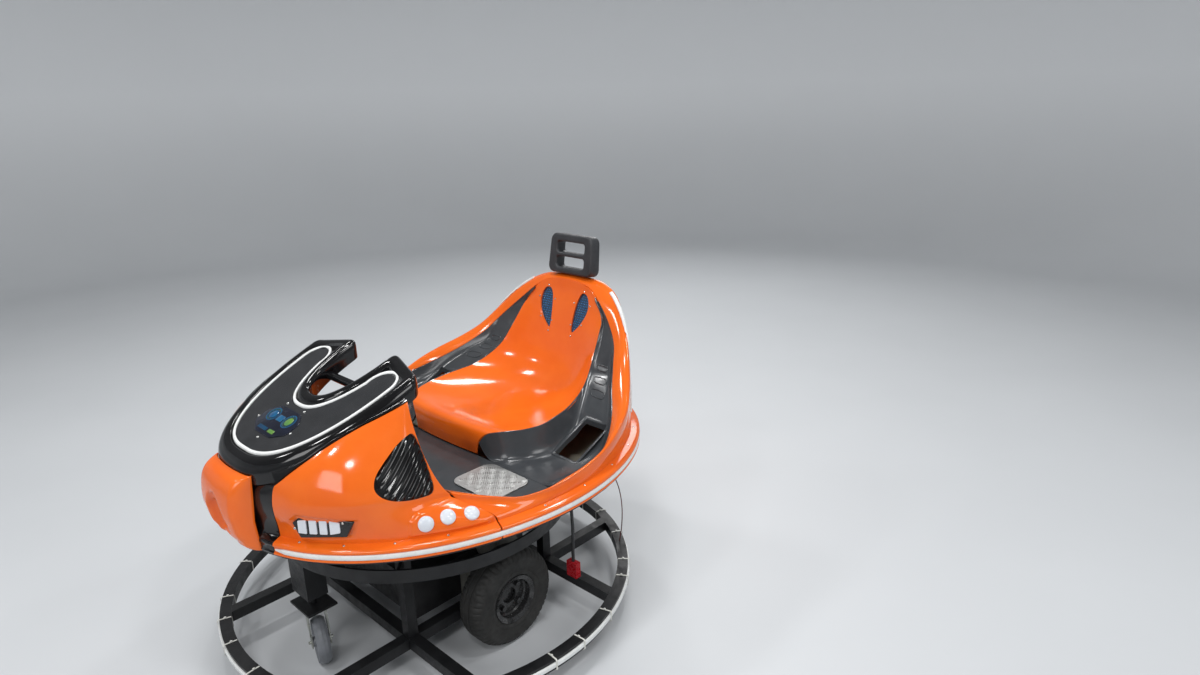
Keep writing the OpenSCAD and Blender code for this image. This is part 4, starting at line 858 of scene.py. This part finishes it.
def smooth_line(line, count):
    """A short line of points as a finer smooth one."""
    table = np.column_stack([np.arange(len(line)), np.array(line, float)])
    return through(table, np.linspace(0, len(line) - 1, count))[:, 1:]


console_rim, notch_rim, arm_ends = (smooth_line(line, count) for line, count in (
    (console_rim, 26), (notch_rim, 26), (arm_ends, 14)))


def console_ring(a, back=0.0, tuck=0.0, drop=0.0):
    """A section of the horseshoe; its sunk face rises to the rim where the arm ends."""
    f = np.clip((a - closing_from) / closing_over, 0, 1)
    close = f**2 * (3 - 2 * f)
    outer, inner = console_outer(a) - (back, 0), console_inner(a) - (back, 0)
    across = unit(outer - inner)
    points = []
    for w, h in console_rim:
        rise = h * (1 - close) if w > rim_w else h
        points.append((outer - across * (w + tuck * (1 - w / 60)), rise))
    for w, h in notch_rim:
        rise = h * (1 - close) + 3 * close if w > rim_w else h - 1.5 * close * (h > 0)
        points.append((inner + across * (w + tuck * (1 - w / 60)), rise))
    return [(q[0] + ring_x, q[1], console_top(q[0]) + h - (drop if h > -40 else 0)) for q, h in points]


station = np.concatenate([90 * np.linspace(0, 1, 60)[:-6] ** 1.25, np.linspace(81, 90, 10)])
half = [console_ring(a) for a in station] + [console_ring(90, *end) for end in arm_ends]
half = np.array(half)
whole = np.concatenate([half[::-1], (half * (1, -1, 1))[1:]])
console_mesh = loft_mesh("console_moulding", whole[:, ::-1])
finished("console_moulding", console_mesh, gloss_black, replaced=("console",),
         smooth_angle=60)

white_light = finish_with("white_light_line", (0.9, 0.91, 0.9), (0.8, 0.81, 0.8), 25, 0.3, grain=700,
                          bump=0.05)


def console_line(inset):
    """The closed line inside the top face: the outer rim, the turn at each arm, the notch."""
    rim = [console_outer(a) - unit(console_outer(a) - console_inner(a)) * inset
           for a in np.linspace(0.05, 1, 40) ** 1.2 * 82]
    notch = [console_inner(a) + unit(console_outer(a) - console_inner(a)) * (inset - 1)
             for a in np.linspace(1, 0.002, 34) ** 1.2 * 68]
    rim[0], notch[-1] = rim[0] * (1, 0), notch[-1] * (1, 0)
    start, end = rim[-1], notch[0]
    middle, arm = (start + end) / 2, (start - end) / 2
    back = np.array((-abs(arm[1]), arm[0]))
    turn = [middle + arm * math.cos(t) + back * math.sin(t) for t in np.linspace(0, math.pi, 16)[1:-1]]
    half = np.array(rim + turn + notch)
    return np.concatenate([half, (half * (1, -1))[-2:0:-1]])


light_inset, face_inset = 41, 46.5
light_path = console_line(light_inset)
light_way = unit(np.roll(light_path, -1, axis=0) - np.roll(light_path, 1, axis=0))
light_side = np.stack([-light_way[:, 1], light_way[:, 0]], -1)
face_sunk = 5.7
light_profile = [(-3.5, 0), (-3.5, 3.4), (-2.6, 4.6), (0, 5), (2.6, 4.6), (3.5, 3.4), (3.5, 0)]
light_rings = []
for point, aside in zip(light_path, light_side):
    ring = [(*(point + aside * w), h) for w, h in light_profile]
    light_rings.append([(x + ring_x, y, console_top(x) - face_sunk + h) for x, y, h in ring])
light_mesh = loft_mesh("console_light_line", light_rings, closed_rows=True)
finished("console_light_line", light_mesh, white_light, replaced=("console_lights",),
         smooth_angle=50)

face_outline = console_line(face_inset)
face_points = [(x + ring_x, y, console_top(x) - face_sunk + h) for h in (0, 2) for x, y in face_outline]
count = len(face_outline)
face_sides = [(k, (k + 1) % count, count + (k + 1) % count, count + k) for k in range(count)]
face_mesh = mesh_of("console_face_plate", face_points,
                    [tuple(reversed(range(count))), tuple(range(count, 2 * count))] + face_sides)
face_coat = finish_with("console_face_gelcoat", (0.022, 0.023, 0.025), (0.034, 0.035, 0.038), 18, 0.13,
                        grain=250, bump=0.05, wear=0.03)
finished("console_face_plate", face_mesh, face_coat, replaced=("console_face",))

# The panel lies in the face under five screws, with two round gauges, a small window
# between them, a small level scale and a second window, all behind dark glass.
dark_glass = finish_with("display_glass", (0.006, 0.008, 0.016), (0.01, 0.013, 0.03), 30, 0.08,
                         grain=400, bump=0.03)
display_x, display_l, display_w = 391, 88, 150


def bevelled(mesh, width, segments=3, angle=40):
    """The mesh with its edges rounded by a width in millimetres."""
    holder = put_in_scene("edge_rounding", mesh)
    change = holder.modifiers.new("round_edges", "BEVEL")
    change.width, change.segments = width * 0.001, segments
    change.limit_method, change.angle_limit = "ANGLE", math.radians(angle)
    shape = as_shown(holder)
    bpy.data.objects.remove(holder)
    return shape


def soft_corners(points, reach, rounds=2):
    """A closed outline whose corners are rounded over a reach and whose sides stay straight."""
    points = np.array(points, float)
    back = points + unit(np.roll(points, 1, axis=0) - points) * reach
    ahead = points + unit(np.roll(points, -1, axis=0) - points) * reach
    return rounded_outline(np.stack([back, points, ahead], 1).reshape(-1, 2), rounds)


def on_console(x, y, lift=0.0):
    """Places a shape drawn flat on the console's face, its X down the slope."""
    tilt = Matrix.Rotation(math.atan(console_slope), 4, "Y")
    place = Matrix.Translation(Vector((x + ring_x, y, console_top(x) - 3.7)) * 0.001)
    return place @ tilt @ Matrix.Translation((0, 0, lift * 0.001))


half_l, half_w_panel, cut = display_l / 2, display_w / 2, 30
panel_left = [(half_l, half_w_panel - cut * 1.3), (half_l - cut * 0.8, half_w_panel),
              (-half_l + cut * 0.8, half_w_panel), (-half_l, half_w_panel - cut)]
panel_outline = [(x, -y) for x, y in panel_left[::-1]] + panel_left
panel_plate = bevelled(solid_of("display_panel", soft_corners(panel_outline, 9), -1, 2.2), 0.8)
finished("display_panel", placed(panel_plate, on_console(display_x, 0)), dark_glass,
         replaced=("display",))

glow_green = finish_with("gauge_green", (0.16, 0.3, 0.03), (0.06, 0.2, 0.07), 60, 0.12)
glow_blue = finish_with("gauge_blue", (0.01, 0.13, 0.26), (0.012, 0.07, 0.18), 60, 0.12)


def flat_ring(name, outer, inner, height):
    """A thin ring drawn flat."""
    corners = [(outer, 0), (inner, 0), (inner, height), (outer, height)]
    rings = [[(r * math.cos(t), r * math.sin(t), h) for r, h in corners]
             for t in np.radians(np.arange(0, 360, 7.5))]
    return loft_mesh(name, rings, closed_rows=True)


def small_plate(name, half_l, half_w, height, edge, segments=2):
    """A small rectangular plate drawn flat, its upper edges rounded."""
    outline = [(-half_l, -half_w), (half_l, -half_w), (half_l, half_w), (-half_l, half_w)]
    return bevelled(solid_of(name, outline, 0, height), edge, segments)


glass_top, tick_r = 2.2, 17.2
disc_profile = [(0, -0.5), (12.5, -0.5), (12.5, 0.2), (11.8, 0.5), (0, 0.7)]
for side, y, dial in (("left", 38, glow_green), ("right", -38, glow_blue)):
    centre = on_console(display_x - 12, y, glass_top)
    for name, mesh, glow in (("gauge_disc_", revolved("disc", disc_profile, 40), dial),
                             ("gauge_ring_", flat_ring("ring", 21, 18.6, 0.5), glow_blue),
                             ("gauge_inner_ring_", flat_ring("inner", 15.8, 14.9, 0.4), glow_blue)):
        finished(name + side, placed(mesh, centre), glow)
    ticks = [centre @ Matrix.Rotation(math.radians(a), 4, "Z") for a in range(-210, 31, 24)]
    repeated("gauge_ticks_" + side, small_plate("gauge_tick", 1.8, 0.5, 0.5, 0.15, 1),
             [np.array(m @ Vector((tick_r * 0.001, 0, 0))) * 1000 for m in ticks],
             [m.to_euler() for m in ticks], glow_green)
for name, x, y, half_l, glow in (("display_window", -10, 0, 9, glow_blue),
                                 ("display_scale_window", 27, 22, 5, glow_green)):
    plate = small_plate(name, half_l, 13, 0.6, 0.3)
    finished(name, placed(plate, on_console(display_x + x, y, glass_top)), glow)
level_spots = [on_console(display_x + 27, y, glass_top) for y in range(-38, 1, 6)]
repeated("level_marks", small_plate("level_mark", 5, 1.3, 0.5, 0.2, 1),
         [np.array(m.translation) * 1000 for m in level_spots], [m.to_euler() for m in level_spots],
         glow_blue)


def turns_to(normals):
    """Turns that stand a shape on a surface, its Z along each normal."""
    return [Vector(n).to_track_quat("Z", "Y").to_euler() for n in np.array(normals, float)]


panel_screws = [(display_x - 50, 42), (display_x - 50, -42), (display_x + 8, 82), (display_x + 8, -82),
                (display_x + 51, 0)]
screw_spots = [(x + ring_x, y, console_top(x) - 3.8) for x, y in panel_screws]
slope_normal = unit(np.array((console_slope, 0, 1)))
repeated("panel_screws", screw_mesh, screw_spots, turns_to([slope_normal] * len(screw_spots)),
         screw_steel)
dress(gloss_black, "grab_bar")

# Seat
# One orange glass-fibre bucket with rolled edges, its top under the headrest. Behind the
# two vents in its back lies a dark mesh with blue dots, each held by six screws.

# Columns: centre x z, half width, edge x z.
seat_rows = [
    (-600, 820, 112, -594, 815),
    (-596, 795, 137, -588, 799),
    (-580, 750, 176, -574, 748),
    (-566, 700, 188, -543, 700),
    (-552, 650, 196, -512, 655),
    (-535, 600, 206, -480, 612),
    (-505, 556, 222, -440, 580),
    (-455, 522, 240, -388, 556),
    (-390, 505, 258, -333, 545),
    (-310, 499, 267, -272, 538),
    (-230, 502, 267, -222, 532),
    (-165, 512, 250, -168, 530),
    (-115, 524, 212, -120, 528),
    (-88, 520, 176, -95, 518),
    (-78, 490, 150, -84, 490),
    (-76, 452, 140, -82, 452)]
seat_table = [(i, *row) for i, row in enumerate(seat_rows)]


def seat_grid(places, across):
    rows = through(seat_table, places)[:, 1:]
    f = np.abs(across) ** 2.4
    x = rows[:, :1] * (1 - f) + rows[:, 3:4] * f
    z = rows[:, 1:2] * (1 - f) + rows[:, 4:5] * f
    return np.stack([x + ring_x, rows[:, 2:3] * across, z], -1)


vent_outline = [(79, 800), (66, 794), (57, 772), (53, 745), (49, 712), (48, 690), (51, 674),
                (66, 686), (84, 706), (99, 730), (106, 752), (105, 776), (94, 795)]


def vent_cutter(grow, flip=False):
    outline = np.array(vent_outline, float)
    middle = outline.mean(axis=0)
    outline = rounded_outline(outline + unit(outline - middle) * grow)
    mesh = solid_of("vent_outline", outline, ring_x - 600, ring_x - 500)
    turn = Matrix(((0, 0, 1, 0), (1, 0, 0, 0), (0, 1, 0, 0), (0, 0, 0, 1)))
    return placed(mesh, turn, flip)


seat_across = np.linspace(-1, 1, 61)
seat_surface = seat_grid(np.linspace(0, len(seat_rows) - 1, 110), seat_across)
# The seat's first rows run into the inner edge of the rear shell.
top_row = np.interp(seat_across, [-1, -0.5, 0, 0.5, 1], [15, 16, 17, 16, 15])
edge_line = np.array([row[4:7] for row in rear_rows], float)
top_points = np.stack([np.interp(top_row, range(len(rear_rows)), column) for column in edge_line.T], -1)
top_points[:, 1] *= np.sign(seat_across)
blend_rows = np.linspace(1, 0, 12)[:, None, None]
seat_surface[:12] = (seat_surface[:12] * (1 - blend_rows**2)
                     + (top_points + (ring_x + seam, 0, 0))[None] * blend_rows**2)
seat_mesh = sheet_mesh("seat_moulding", seat_surface, skin_t, 3.5, (0, 1, 1, 1))
finished("seat_moulding", carved(seat_mesh, [vent_cutter(3), vent_cutter(3, True)]), orange,
         replaced=("seat",), smooth_angle=32)

mesh_blue = finish_with("dark_vent_mesh", (0.01, 0.03, 0.07), (0.012, 0.05, 0.1), 60, 0.3, coat=0.6)
blue_dots = finish_with("blue_vent_dots", (0.02, 0.25, 0.62), (0.01, 0.14, 0.4), 80, 0.25)
backing = seat_surface[2:64] - normals_of(seat_surface)[2:64] * 5
plate = carved(sheet_mesh("vent_backing", backing, 2, 0.1), [vent_cutter(2.7)], "INTERSECT")
on_both_sides("vent_backing_%s", plate, mesh_blue, "seat_vents")

dot_mesh = revolved("vent_dot", [(0, -0.6), (1.9, -0.6), (1.8, 0.3), (1.1, 0.9), (0, 1.1)], 8)
seat_normals = normals_of(seat_surface)
flat_seat = seat_surface[..., 1:].reshape(-1, 2)


def nearest_on_seat(spot):
    """The seat's point and normal nearest to a place seen from the front."""
    nearest = np.argmin(((flat_seat - spot) ** 2).sum(-1))
    return seat_surface.reshape(-1, 3)[nearest], seat_normals.reshape(-1, 3)[nearest]


first_dot, dot_step, dot_rise, dot_edge, dot_deep = (44, 676), 7.6, 7.2, 2.6, 4.9
spots, normals = [], []
for row in range(18):
    for column in range(9):
        spot = np.array((first_dot[0] + dot_step * (column + row % 2 / 2),
                         first_dot[1] + dot_rise * row))
        if depth_inside(spot, vent_outline) > dot_edge:
            point, normal = nearest_on_seat(spot)
            offset = np.array((0, *(spot - point[1:])))
            point = point + offset - (offset @ normal / normal[0], 0, 0)
            for sign in (1, -1):
                spots.append((point - normal * dot_deep) * (1, sign, 1))
                normals.append(normal * (1, sign, 1))
repeated("vent_dots", dot_mesh, spots, turns_to(normals), blue_dots)

spots, normals = [], []
for spot in ((82, 808), (46, 765), (44, 700), (52, 666), (92, 708), (113, 765)):
    point, normal = nearest_on_seat(spot)
    for sign in (1, -1):
        spots.append(point * (1, sign, 1))
        normals.append(normal * (1, sign, 1))
repeated("vent_screws", screw_mesh, spots, turns_to(normals), screw_steel,
         size=(0.85, 0.85, 0.7))

# Liners and floor
# Grey gelcoat between the seat and the outer wall, running into the floor, with an open
# cut-out on each side where a control stick would stand, and three embossed slots.
grey_coat = finish_with("grey_gelcoat", (0.058, 0.063, 0.069), (0.045, 0.049, 0.054), 15, 0.2,
                        grain=250, bump=0.05, wear=0.06)

# Columns: seat edge x y z, rim edge x y z, floor height between them.
liner_rows = [
    (-588, 138, 799, -585, 149, 790, 788),
    (-574, 177, 748, -565, 204, 742, 736),
    (-543, 189, 700, -532, 257, 688, 684),
    (-512, 197, 655, -508, 276, 661, 645),
    (-480, 207, 612, -485, 295, 635, 606),
    (-440, 223, 580, -428, 341, 590, 572),
    (-388, 241, 556, -372, 391, 552, 530),
    (-333, 259, 545, -318, 429, 525, 486),
    (-272, 268, 538, -262, 457, 503, 462),
    (-222, 268, 532, -190, 461, 482, 450),
    (-168, 251, 530, -150, 459, 477, 450),
    (-120, 213, 528, -110, 457, 472, 450),
    (-95, 177, 518, -97, 457, 472, 450),
    (-84, 151, 490, -84, 457, 471, 450)]
liner_table = [(i, *row) for i, row in enumerate(liner_rows)]
liner_count = 90
liner_fine = through(liner_table, np.linspace(0, len(liner_rows) - 1, liner_count))[:, 1:]
a = liner_fine[:, :3] + (ring_x, 0, 0)
d = liner_fine[:, 3:6] + (ring_x, 0, 0)
b, c = a * 0.9 + d * 0.1, a * 0.1 + d * 0.9
b[:, 2] = c[:, 2] = liner_fine[:, 6]
near, far = b * 0.85 + c * 0.15, b * 0.15 + c * 0.85
columns = [bez(a, a * 0.2 + b * 0.8, b, near, f) for f in np.linspace(0, 1, 12)]
columns += [near * (1 - f) + far * f for f in np.linspace(0, 1, 18)[1:-1]]
columns += [bez(far, c, c * 0.6 + d * 0.4, d, f) for f in np.linspace(0, 1, 10)]
liner_surface = np.stack(columns, 1)
stick_x, stick_y, stick_l, stick_w, stick_corner, frame_w = -292, 345, 130, 84, 6, 10


def rounded_box(w, h, r, middle, steps=6):
    """Outline of a box with round corners, w and h being half its sides."""
    points = []
    for k, (x, y) in enumerate(((w, h), (-w, h), (-w, -h), (w, -h))):
        for s in range(steps + 1):
            t = math.radians(90 * k + 90 * s / steps)
            points.append((middle[0] + x - r * np.sign(x) + r * math.cos(t),
                           middle[1] + y - r * np.sign(y) + r * math.sin(t)))
    return points


def stick_outline(grow):
    return rounded_box(stick_l / 2 + grow, stick_w / 2 + grow, stick_corner,
                       (stick_x + ring_x, stick_y), 3)


liner = carved(sheet_mesh("liner_moulding", liner_surface, skin_t, 1.0),
               [solid_of("stick_opening", stick_outline(0), 420, 560)])
on_both_sides("liner_%s_moulding", liner, grey_coat, "liner_%s", smooth_angle=32)


def liner_z(x, y):
    """Height of the left liner's surface over a plane place."""
    near = np.argmin(((liner_surface[:, 10:30, :2] - (x, y)) ** 2).sum(-1))
    return liner_surface[:, 10:30].reshape(-1, 3)[near][2]


frame_outline, frame_far = np.array(stick_outline(0)), np.array(stick_outline(frame_w))
frame_x = np.linspace(-380, -200, 30)
frame_z = np.array([liner_z(x + ring_x, stick_y) for x in frame_x])
frame_fit = np.polyfit(frame_x + ring_x, frame_z, 2)

# Columns: share of the frame's width from the opening, height over the liner.
frame_profile = [(0.95, -1), (0.9, 1.4), (0.75, 2.6), (0.2, 2.8), (0.03, 1.8), (0.0, 0), (0.02, -14),
                 (0.2, -14), (0.25, -3)]
frame_rings = []
for inner, outer in zip(frame_outline, frame_far):
    ring = [(*(inner + (outer - inner) * share), up) for share, up in frame_profile]
    frame_rings.append([(x, y, np.polyval(frame_fit, x) + up) for x, y, up in ring])

# Columns: row of the slot's upper edge, start and end across the liner.
slot_rows = [(3.55, 0.33, 0.76), (4.3, 0.32, 0.76), (5.0, 0.32, 0.74)]


def slot_path(row, start, end):
    """A closed path on the liner round one embossed slot, narrower towards the front."""
    low, c = row + 0.36, 0.05
    corners = [(row, start + c), (row + 0.1, start), (low - 0.1, start + 0.03), (low, start + c + 0.03),
               (low, end - c - 0.03), (low - 0.1, end - 0.03), (row + 0.1, end), (row, end - c)]
    outline = rounded_outline(corners, 2)
    i = outline[:, 0] / (len(liner_rows) - 1) * (liner_count - 1)
    j = outline[:, 1] * (liner_surface.shape[1] - 1)
    i0, j0 = i.astype(int), j.astype(int)
    f, g = (i - i0)[:, None], (j - j0)[:, None]
    path = ((liner_surface[i0, j0] * (1 - f) + liner_surface[i0 + 1, j0] * f) * (1 - g)
            + (liner_surface[i0, j0 + 1] * (1 - f) + liner_surface[i0 + 1, j0 + 1] * f) * g)
    return np.concatenate([path, path[:2]])


on_both_sides("stick_frame_%s", loft_mesh("stick_frame", frame_rings, closed_rows=True), grey_coat,
              smooth_angle=50)
for k, row in enumerate(slot_rows):
    slot = tube_mesh("liner_slot", slot_path(*row), 1.8, 8)
    on_both_sides("liner_slot_%s_" + str(k + 1), slot, grey_coat, smooth_angle=60)

floor_edge = [(-84, 456.7, 469), (-20, 457.7, 468), (42, 439.7, 471), (76, 403.7, 478),
              (112, 361.7, 488), (150, 315.7, 499), (220, 270, 456), (320, 240, 456), (400, 180, 456)]
floor_fine = even(floor_edge, 70)
floor_z = 450
columns = []
for back, share in ((0, 1), (3, 0.8), (7, 0.5), (12, 0.24), (18, 0.08), (28, 0)):
    columns.append(np.stack([floor_fine[:, 0] + ring_x, floor_fine[:, 1] - back,
                             floor_z + (floor_fine[:, 2] - floor_z) * share], -1))
columns += [columns[-1] * (1, f, 1) for f in np.linspace(0.8, 0.0, 5)]
half_floor = np.stack(columns, 1)
floor_surface = np.concatenate([half_floor * (1, -1, 1), half_floor[:, -2::-1]], 1)
floor_mesh = sheet_mesh("floor_pan_moulding", floor_surface, skin_t, 1.0)
finished("floor_pan_moulding", floor_mesh, grey_coat, replaced=("floor_pan",))

# Headrest
# One block of dark moulded foam with soft edges and two slots. It stands on top of the
# seat, leaning back, and is fixed from below.
foam = finish_with("moulded_foam", (0.024, 0.026, 0.03), (0.036, 0.038, 0.042), 20, 0.5, bump=0.3)
headrest_w, headrest_h, headrest_t, headrest_x, headrest_z = 196, 128, 42, -628, 847.5
headrest_lean, soft_edge = math.radians(-8), 8
outer = [(x * (1 - 0.08 * y / headrest_h), y) for x, y in
         rounded_box(headrest_w / 2, headrest_h / 2, 24, (0, headrest_h / 2))]
outer = [(x, max(y, 0)) for x, y in outer]
block = solid_of("headrest_block", outer, -headrest_t / 2, headrest_t / 2)
slots = [solid_of("headrest_slot", rounded_box(headrest_w / 2 - 38, 17, 10, (0, y)), -60, 60)
         for y in (38, 86)]
block = bevelled(carved(block, slots), soft_edge, 4, 50)
lean = (Matrix.Translation(Vector((ring_x + headrest_x, 0, headrest_z)) * 0.001)
        @ Matrix(((0, 0, 1, 0), (1, 0, 0, 0), (0, 1, 0, 0), (0, 0, 0, 1)))
        @ Matrix.Rotation(headrest_lean, 4, "X"))
finished("headrest_foam", placed(block, lean), foam, replaced=("headrest",),
         smooth_angle=60)

# Belly and checker plates
# Raw cream fibreglass on faces turned up; faces turned down are near-black, painted shade
# under the belly. The plates are bright tread plate with groups of five bars set crosswise.
belly_with_shade, tree, shader = new_material("fibreglass_and_painted_shade")
facing_up = tree.nodes.new("ShaderNodeNewGeometry")
split = tree.nodes.new("ShaderNodeSeparateXYZ")
tree.links.new(facing_up.outputs["True Normal"], split.inputs["Vector"])
raw = blend_colours(tree, spread(tree, noise(tree, 12, 5.0), 0, 1), (0.46, 0.45, 0.36),
                    (0.36, 0.35, 0.28))
# Near-black for faces turned downward: painted shade under the belly, not a paint colour.
shade_black = blend_colours(tree, spread(tree, noise(tree, 20, 4.0), 0, 1), (0.01, 0.01, 0.011),
                        (0.02, 0.02, 0.021))
up_share = spread(tree, split.outputs["Z"], 0, 1, 0.0, 0.05)
tree.links.new(blend_colours(tree, up_share, shade_black, raw), shader.inputs["Base Color"])
tree.links.new(spread(tree, noise(tree, 45, 3.0), 0.45, 0.7), shader.inputs["Roughness"])
raise_bumps(tree, shader, noise(tree, 300, 3.0), 0.3, 0.0008)
dress(belly_with_shade, "belly_pan")

tread_metal = finish_with("tread_metal", (0.5, 0.5, 0.49), (0.42, 0.42, 0.41), 30, 0.42, metallic=1.0,
                          grain=700, bump=0.1, wear=0.05)
dress(tread_metal, "floor_plates")
bar_rings = [[(x, w * math.cos(t), w * 0.35 * math.sin(t)) for t in np.radians(range(0, 181, 30))]
             for x, w in ((-11, 0.3), (-9.5, 1.2), (-6, 1.8), (6, 1.8), (9.5, 1.2), (11, 0.3))]
bar_mesh = loft_mesh("tread_bar", np.array(bar_rings)[:, ::-1])
plate_x, plate_y, plate_half_l, plate_half_w, plate_z = -6, 295, 58, 75, 453.25
group_step, bar_gap, corner_r = 20, 5.2, 14
bar_spots, bar_turns = [], []
for row in range(-3, 4):
    for column in range(-4, 5):
        turn_by = math.radians(45 if (row + column) % 2 else 135)
        for k in range(-2, 3):
            x = row * group_step - math.sin(turn_by) * k * bar_gap
            y = column * group_step + math.cos(turn_by) * k * bar_gap
            past = (max(abs(x) - plate_half_l + corner_r, 0) ** 2
                    + max(abs(y) - plate_half_w + corner_r, 0) ** 2)
            if abs(x) < plate_half_l and abs(y) < plate_half_w and past < corner_r**2:
                for sign in (1, -1):
                    bar_spots.append((x + plate_x + ring_x, sign * (y + plate_y), plate_z))
                    bar_turns.append((0, 0, sign * turn_by))
repeated("tread_bars", bar_mesh, bar_spots, bar_turns, tread_metal, size=(0.8, 1, 1))

# Grilles
# One black glossy inset in each hood, moulded in one piece. Its lower part has slanting
# fins that fade out upward and to the front.
grille_rows = hood_grid(np.linspace(40, hood_end, 150))[:, len(lip_rows) + 8:]
grille_fine = np.array([even(row, 110) for row in grille_rows])
x, z = grille_fine[..., 0] - ring_x, grille_fine[..., 2]
fin_step, fin_h, inset_deep = 15.5, 5, 5.5
fade = (np.clip((664 - z) / 34, 0, 1) * np.clip((326 - x) / 14, 0, 1)
        * np.clip((z - 532) / 10, 0, 1))
fins = (0.5 + 0.5 * np.cos(2 * math.pi * (x * 0.62 + z * 0.78) / fin_step)) ** 1.6 * fin_h * fade
grille_surface = grille_fine - normals_of(grille_fine) * (inset_deep - fins)[..., None]
grille_base = grille_fine - normals_of(grille_fine) * (inset_deep + 2.5)
inset = slab_mesh("grille_inset", grille_surface, grille_base)
inset = carved(inset, [grille_cutter(-0.1)], "INTERSECT")
on_both_sides("grille_inset_%s", inset, gloss_black, "grilles", smooth_angle=60)

# Lamps
# Each headlamp has a black bezel held by two screws, with four square lenses. Three round
# milky domes stand in the raised field behind it.
lens_white = finish_with("milky_lens", (0.74, 0.77, 0.82), (0.68, 0.72, 0.78), 60, 0.14, bump=0.05)
lamp_black = finish_with("lamp_bezel_black", (0.006, 0.006, 0.007), (0.012, 0.012, 0.014), 40, 0.2)
lamp_frame = facing_matrix(headlamp_mid, headlamp_out)
lens_rows = [(-48, -28, 15, 17), (-22, -4, 17, 17), (2, 20, 17, 17), (26, 50, 17, 12)]


def lens_outline(row, grow):
    y0, y1, h0, h1 = row
    return [(-h0 - grow, y0 - grow), (h0 + grow, y0 - grow), (h1 + grow, y1 + grow),
            (-h1 - grow, y1 + grow)]


bezel = bevelled(solid_of("headlamp_bezel", drawn(headlamp_points, headlamp_out, 0), -11, 6), 2.0)
bezel = carved(bezel, [solid_of("lens_pocket", soft_corners(lens_outline(row, 1.4), 5), 3.5, 12)
                       for row in lens_rows])
on_both_sides("headlamp_bezel_%s", placed(bezel, lamp_frame), lamp_black, "headlamps")
for k, row in enumerate(lens_rows):
    lens = bevelled(solid_of("headlamp_lens", soft_corners(lens_outline(row, 0), 5), 1, 8.2), 1.6)
    on_both_sides("headlamp_lens_%s_" + str(k + 1), placed(lens, lamp_frame), lens_white)
screw_ends = [lamp_frame @ (Vector((x, y, 5.9)) * 0.001) for x, y in ((-12, 57), (4, -56))]
for side, sign in (("left", 1), ("right", -1)):
    repeated("headlamp_screws_" + side, screw_mesh,
             [np.array(end) * 1000 * (1, sign, 1) for end in screw_ends],
             turns_to([unit(np.array(headlamp_out)) * (1, sign, 1)] * 2), screw_steel,
             size=(0.9, 0.9, 0.9))

dome_profile = [(0, -4), (18, -4), (18.2, 1.2), (17.8, 2.2), (17, 2.8), (15.4, 4.0), (12.5, 5.4),
                (8.5, 6.8), (4, 7.6), (0, 7.9)]
side_lamp_spots = [(256, 383, 484), (210, 401, 484), (157, 420, 476)]
hood_normals = normals_of(hood_surface)
for k, spot in enumerate(side_lamp_spots):
    gaps = hood_surface - np.array(spot) - (ring_x, 0, 0)
    near = np.unravel_index(np.argmin((gaps**2).sum(-1)), gaps.shape[:2])
    dome = placed(revolved("side_lamp_dome", dome_profile, 48),
                  facing_matrix(hood_surface[near], hood_normals[near]))
    on_both_sides("side_lamp_%s_" + str(k + 1), dome, lens_white, "side_lamps",
                  smooth_angle=55)

# Studio
# A plain pale floor that turns up into a pale round wall. Nine small ceiling lamps give
# the bright spots on the gelcoat, and three broad soft lights stand round the car.
floor_paint, tree, shader = new_material("pale_floor")
room = tree.nodes.new("ShaderNodeTexCoord")
split = tree.nodes.new("ShaderNodeSeparateXYZ")
tree.links.new(room.outputs["Object"], split.inputs["Vector"])
tone = blend_colours(tree, spread(tree, noise(tree, 1.5, 5.0), 0, 1), (0.62, 0.64, 0.66),
                     (0.6, 0.62, 0.64))
wall_share = spread(tree, split.outputs["Z"], 0, 1, 0.0, 1.5)
tone = blend_colours(tree, wall_share, tone, (0.88, 0.9, 0.92))
tree.links.new(tone, shader.inputs["Base Color"])
tree.links.new(spread(tree, noise(tree, 4, 4.0), 0.43, 0.47), shader.inputs["Roughness"])
floor_r, wall_h, turn_r = 7000, 3600, 1600
sweep = [(20, 0), (1000, 0), (3000, 0), (floor_r - turn_r, 0)]
sweep += [(floor_r - turn_r + turn_r * math.sin(t), turn_r - turn_r * math.cos(t))
          for t in np.radians(range(6, 91, 6))]
sweep += [(floor_r, wall_h)]
sides = 96
floor_points = [(r * math.cos(t), r * math.sin(t), h) for r, h in sweep
                for t in np.linspace(0, 2 * math.pi, sides, endpoint=False)]
floor = mesh_of("studio_floor", floor_points, ring_faces(len(sweep), sides) + [tuple(range(sides))])
floor.polygons.foreach_set("use_smooth", [True] * len(floor.polygons))
floor.materials.append(floor_paint)
put_in_scene("studio_floor", floor)

ceiling_step, ceiling_z = 1.9, 3.3
lamps = []
for i in range(3):
    for j in range(3):
        x, y = (i - 1) * ceiling_step, (j - 1) * ceiling_step
        lamps.append(("ceiling_%d_%d" % (i, j), (x, y, ceiling_z), (x, y, 0), 0.36, 18))
lamps += [("front_soft_light", (3.6, 1.6, 2.6), (0, 0, 0.5), 1.6, 42),
          ("side_soft_light", (-0.6, 4.2, 2.6), (0, 0, 0.5), 1.4, 30),
          ("rear_soft_light", (-3.8, -2.0, 2.8), (0, 0, 0.6), 1.6, 36)]
for name, place, target, size, power in lamps:
    light = bpy.data.lights.new(name, "AREA")
    light.shape = "SQUARE"
    light.size = size
    light.energy = power
    lamp = put_in_scene(name, light)
    lamp.location = place
    lamp.rotation_euler = (Vector(target) - Vector(place)).to_track_quat("-Z", "Y").to_euler()
world = bpy.data.worlds.new("studio_air")
world.use_nodes = True
world.node_tree.nodes["Background"].inputs["Color"].default_value = (0.78, 0.8, 0.82, 1)
world.node_tree.nodes["Background"].inputs["Strength"].default_value = 0.25
bpy.context.scene.world = world
bpy.context.scene.view_settings.view_transform = "Standard"
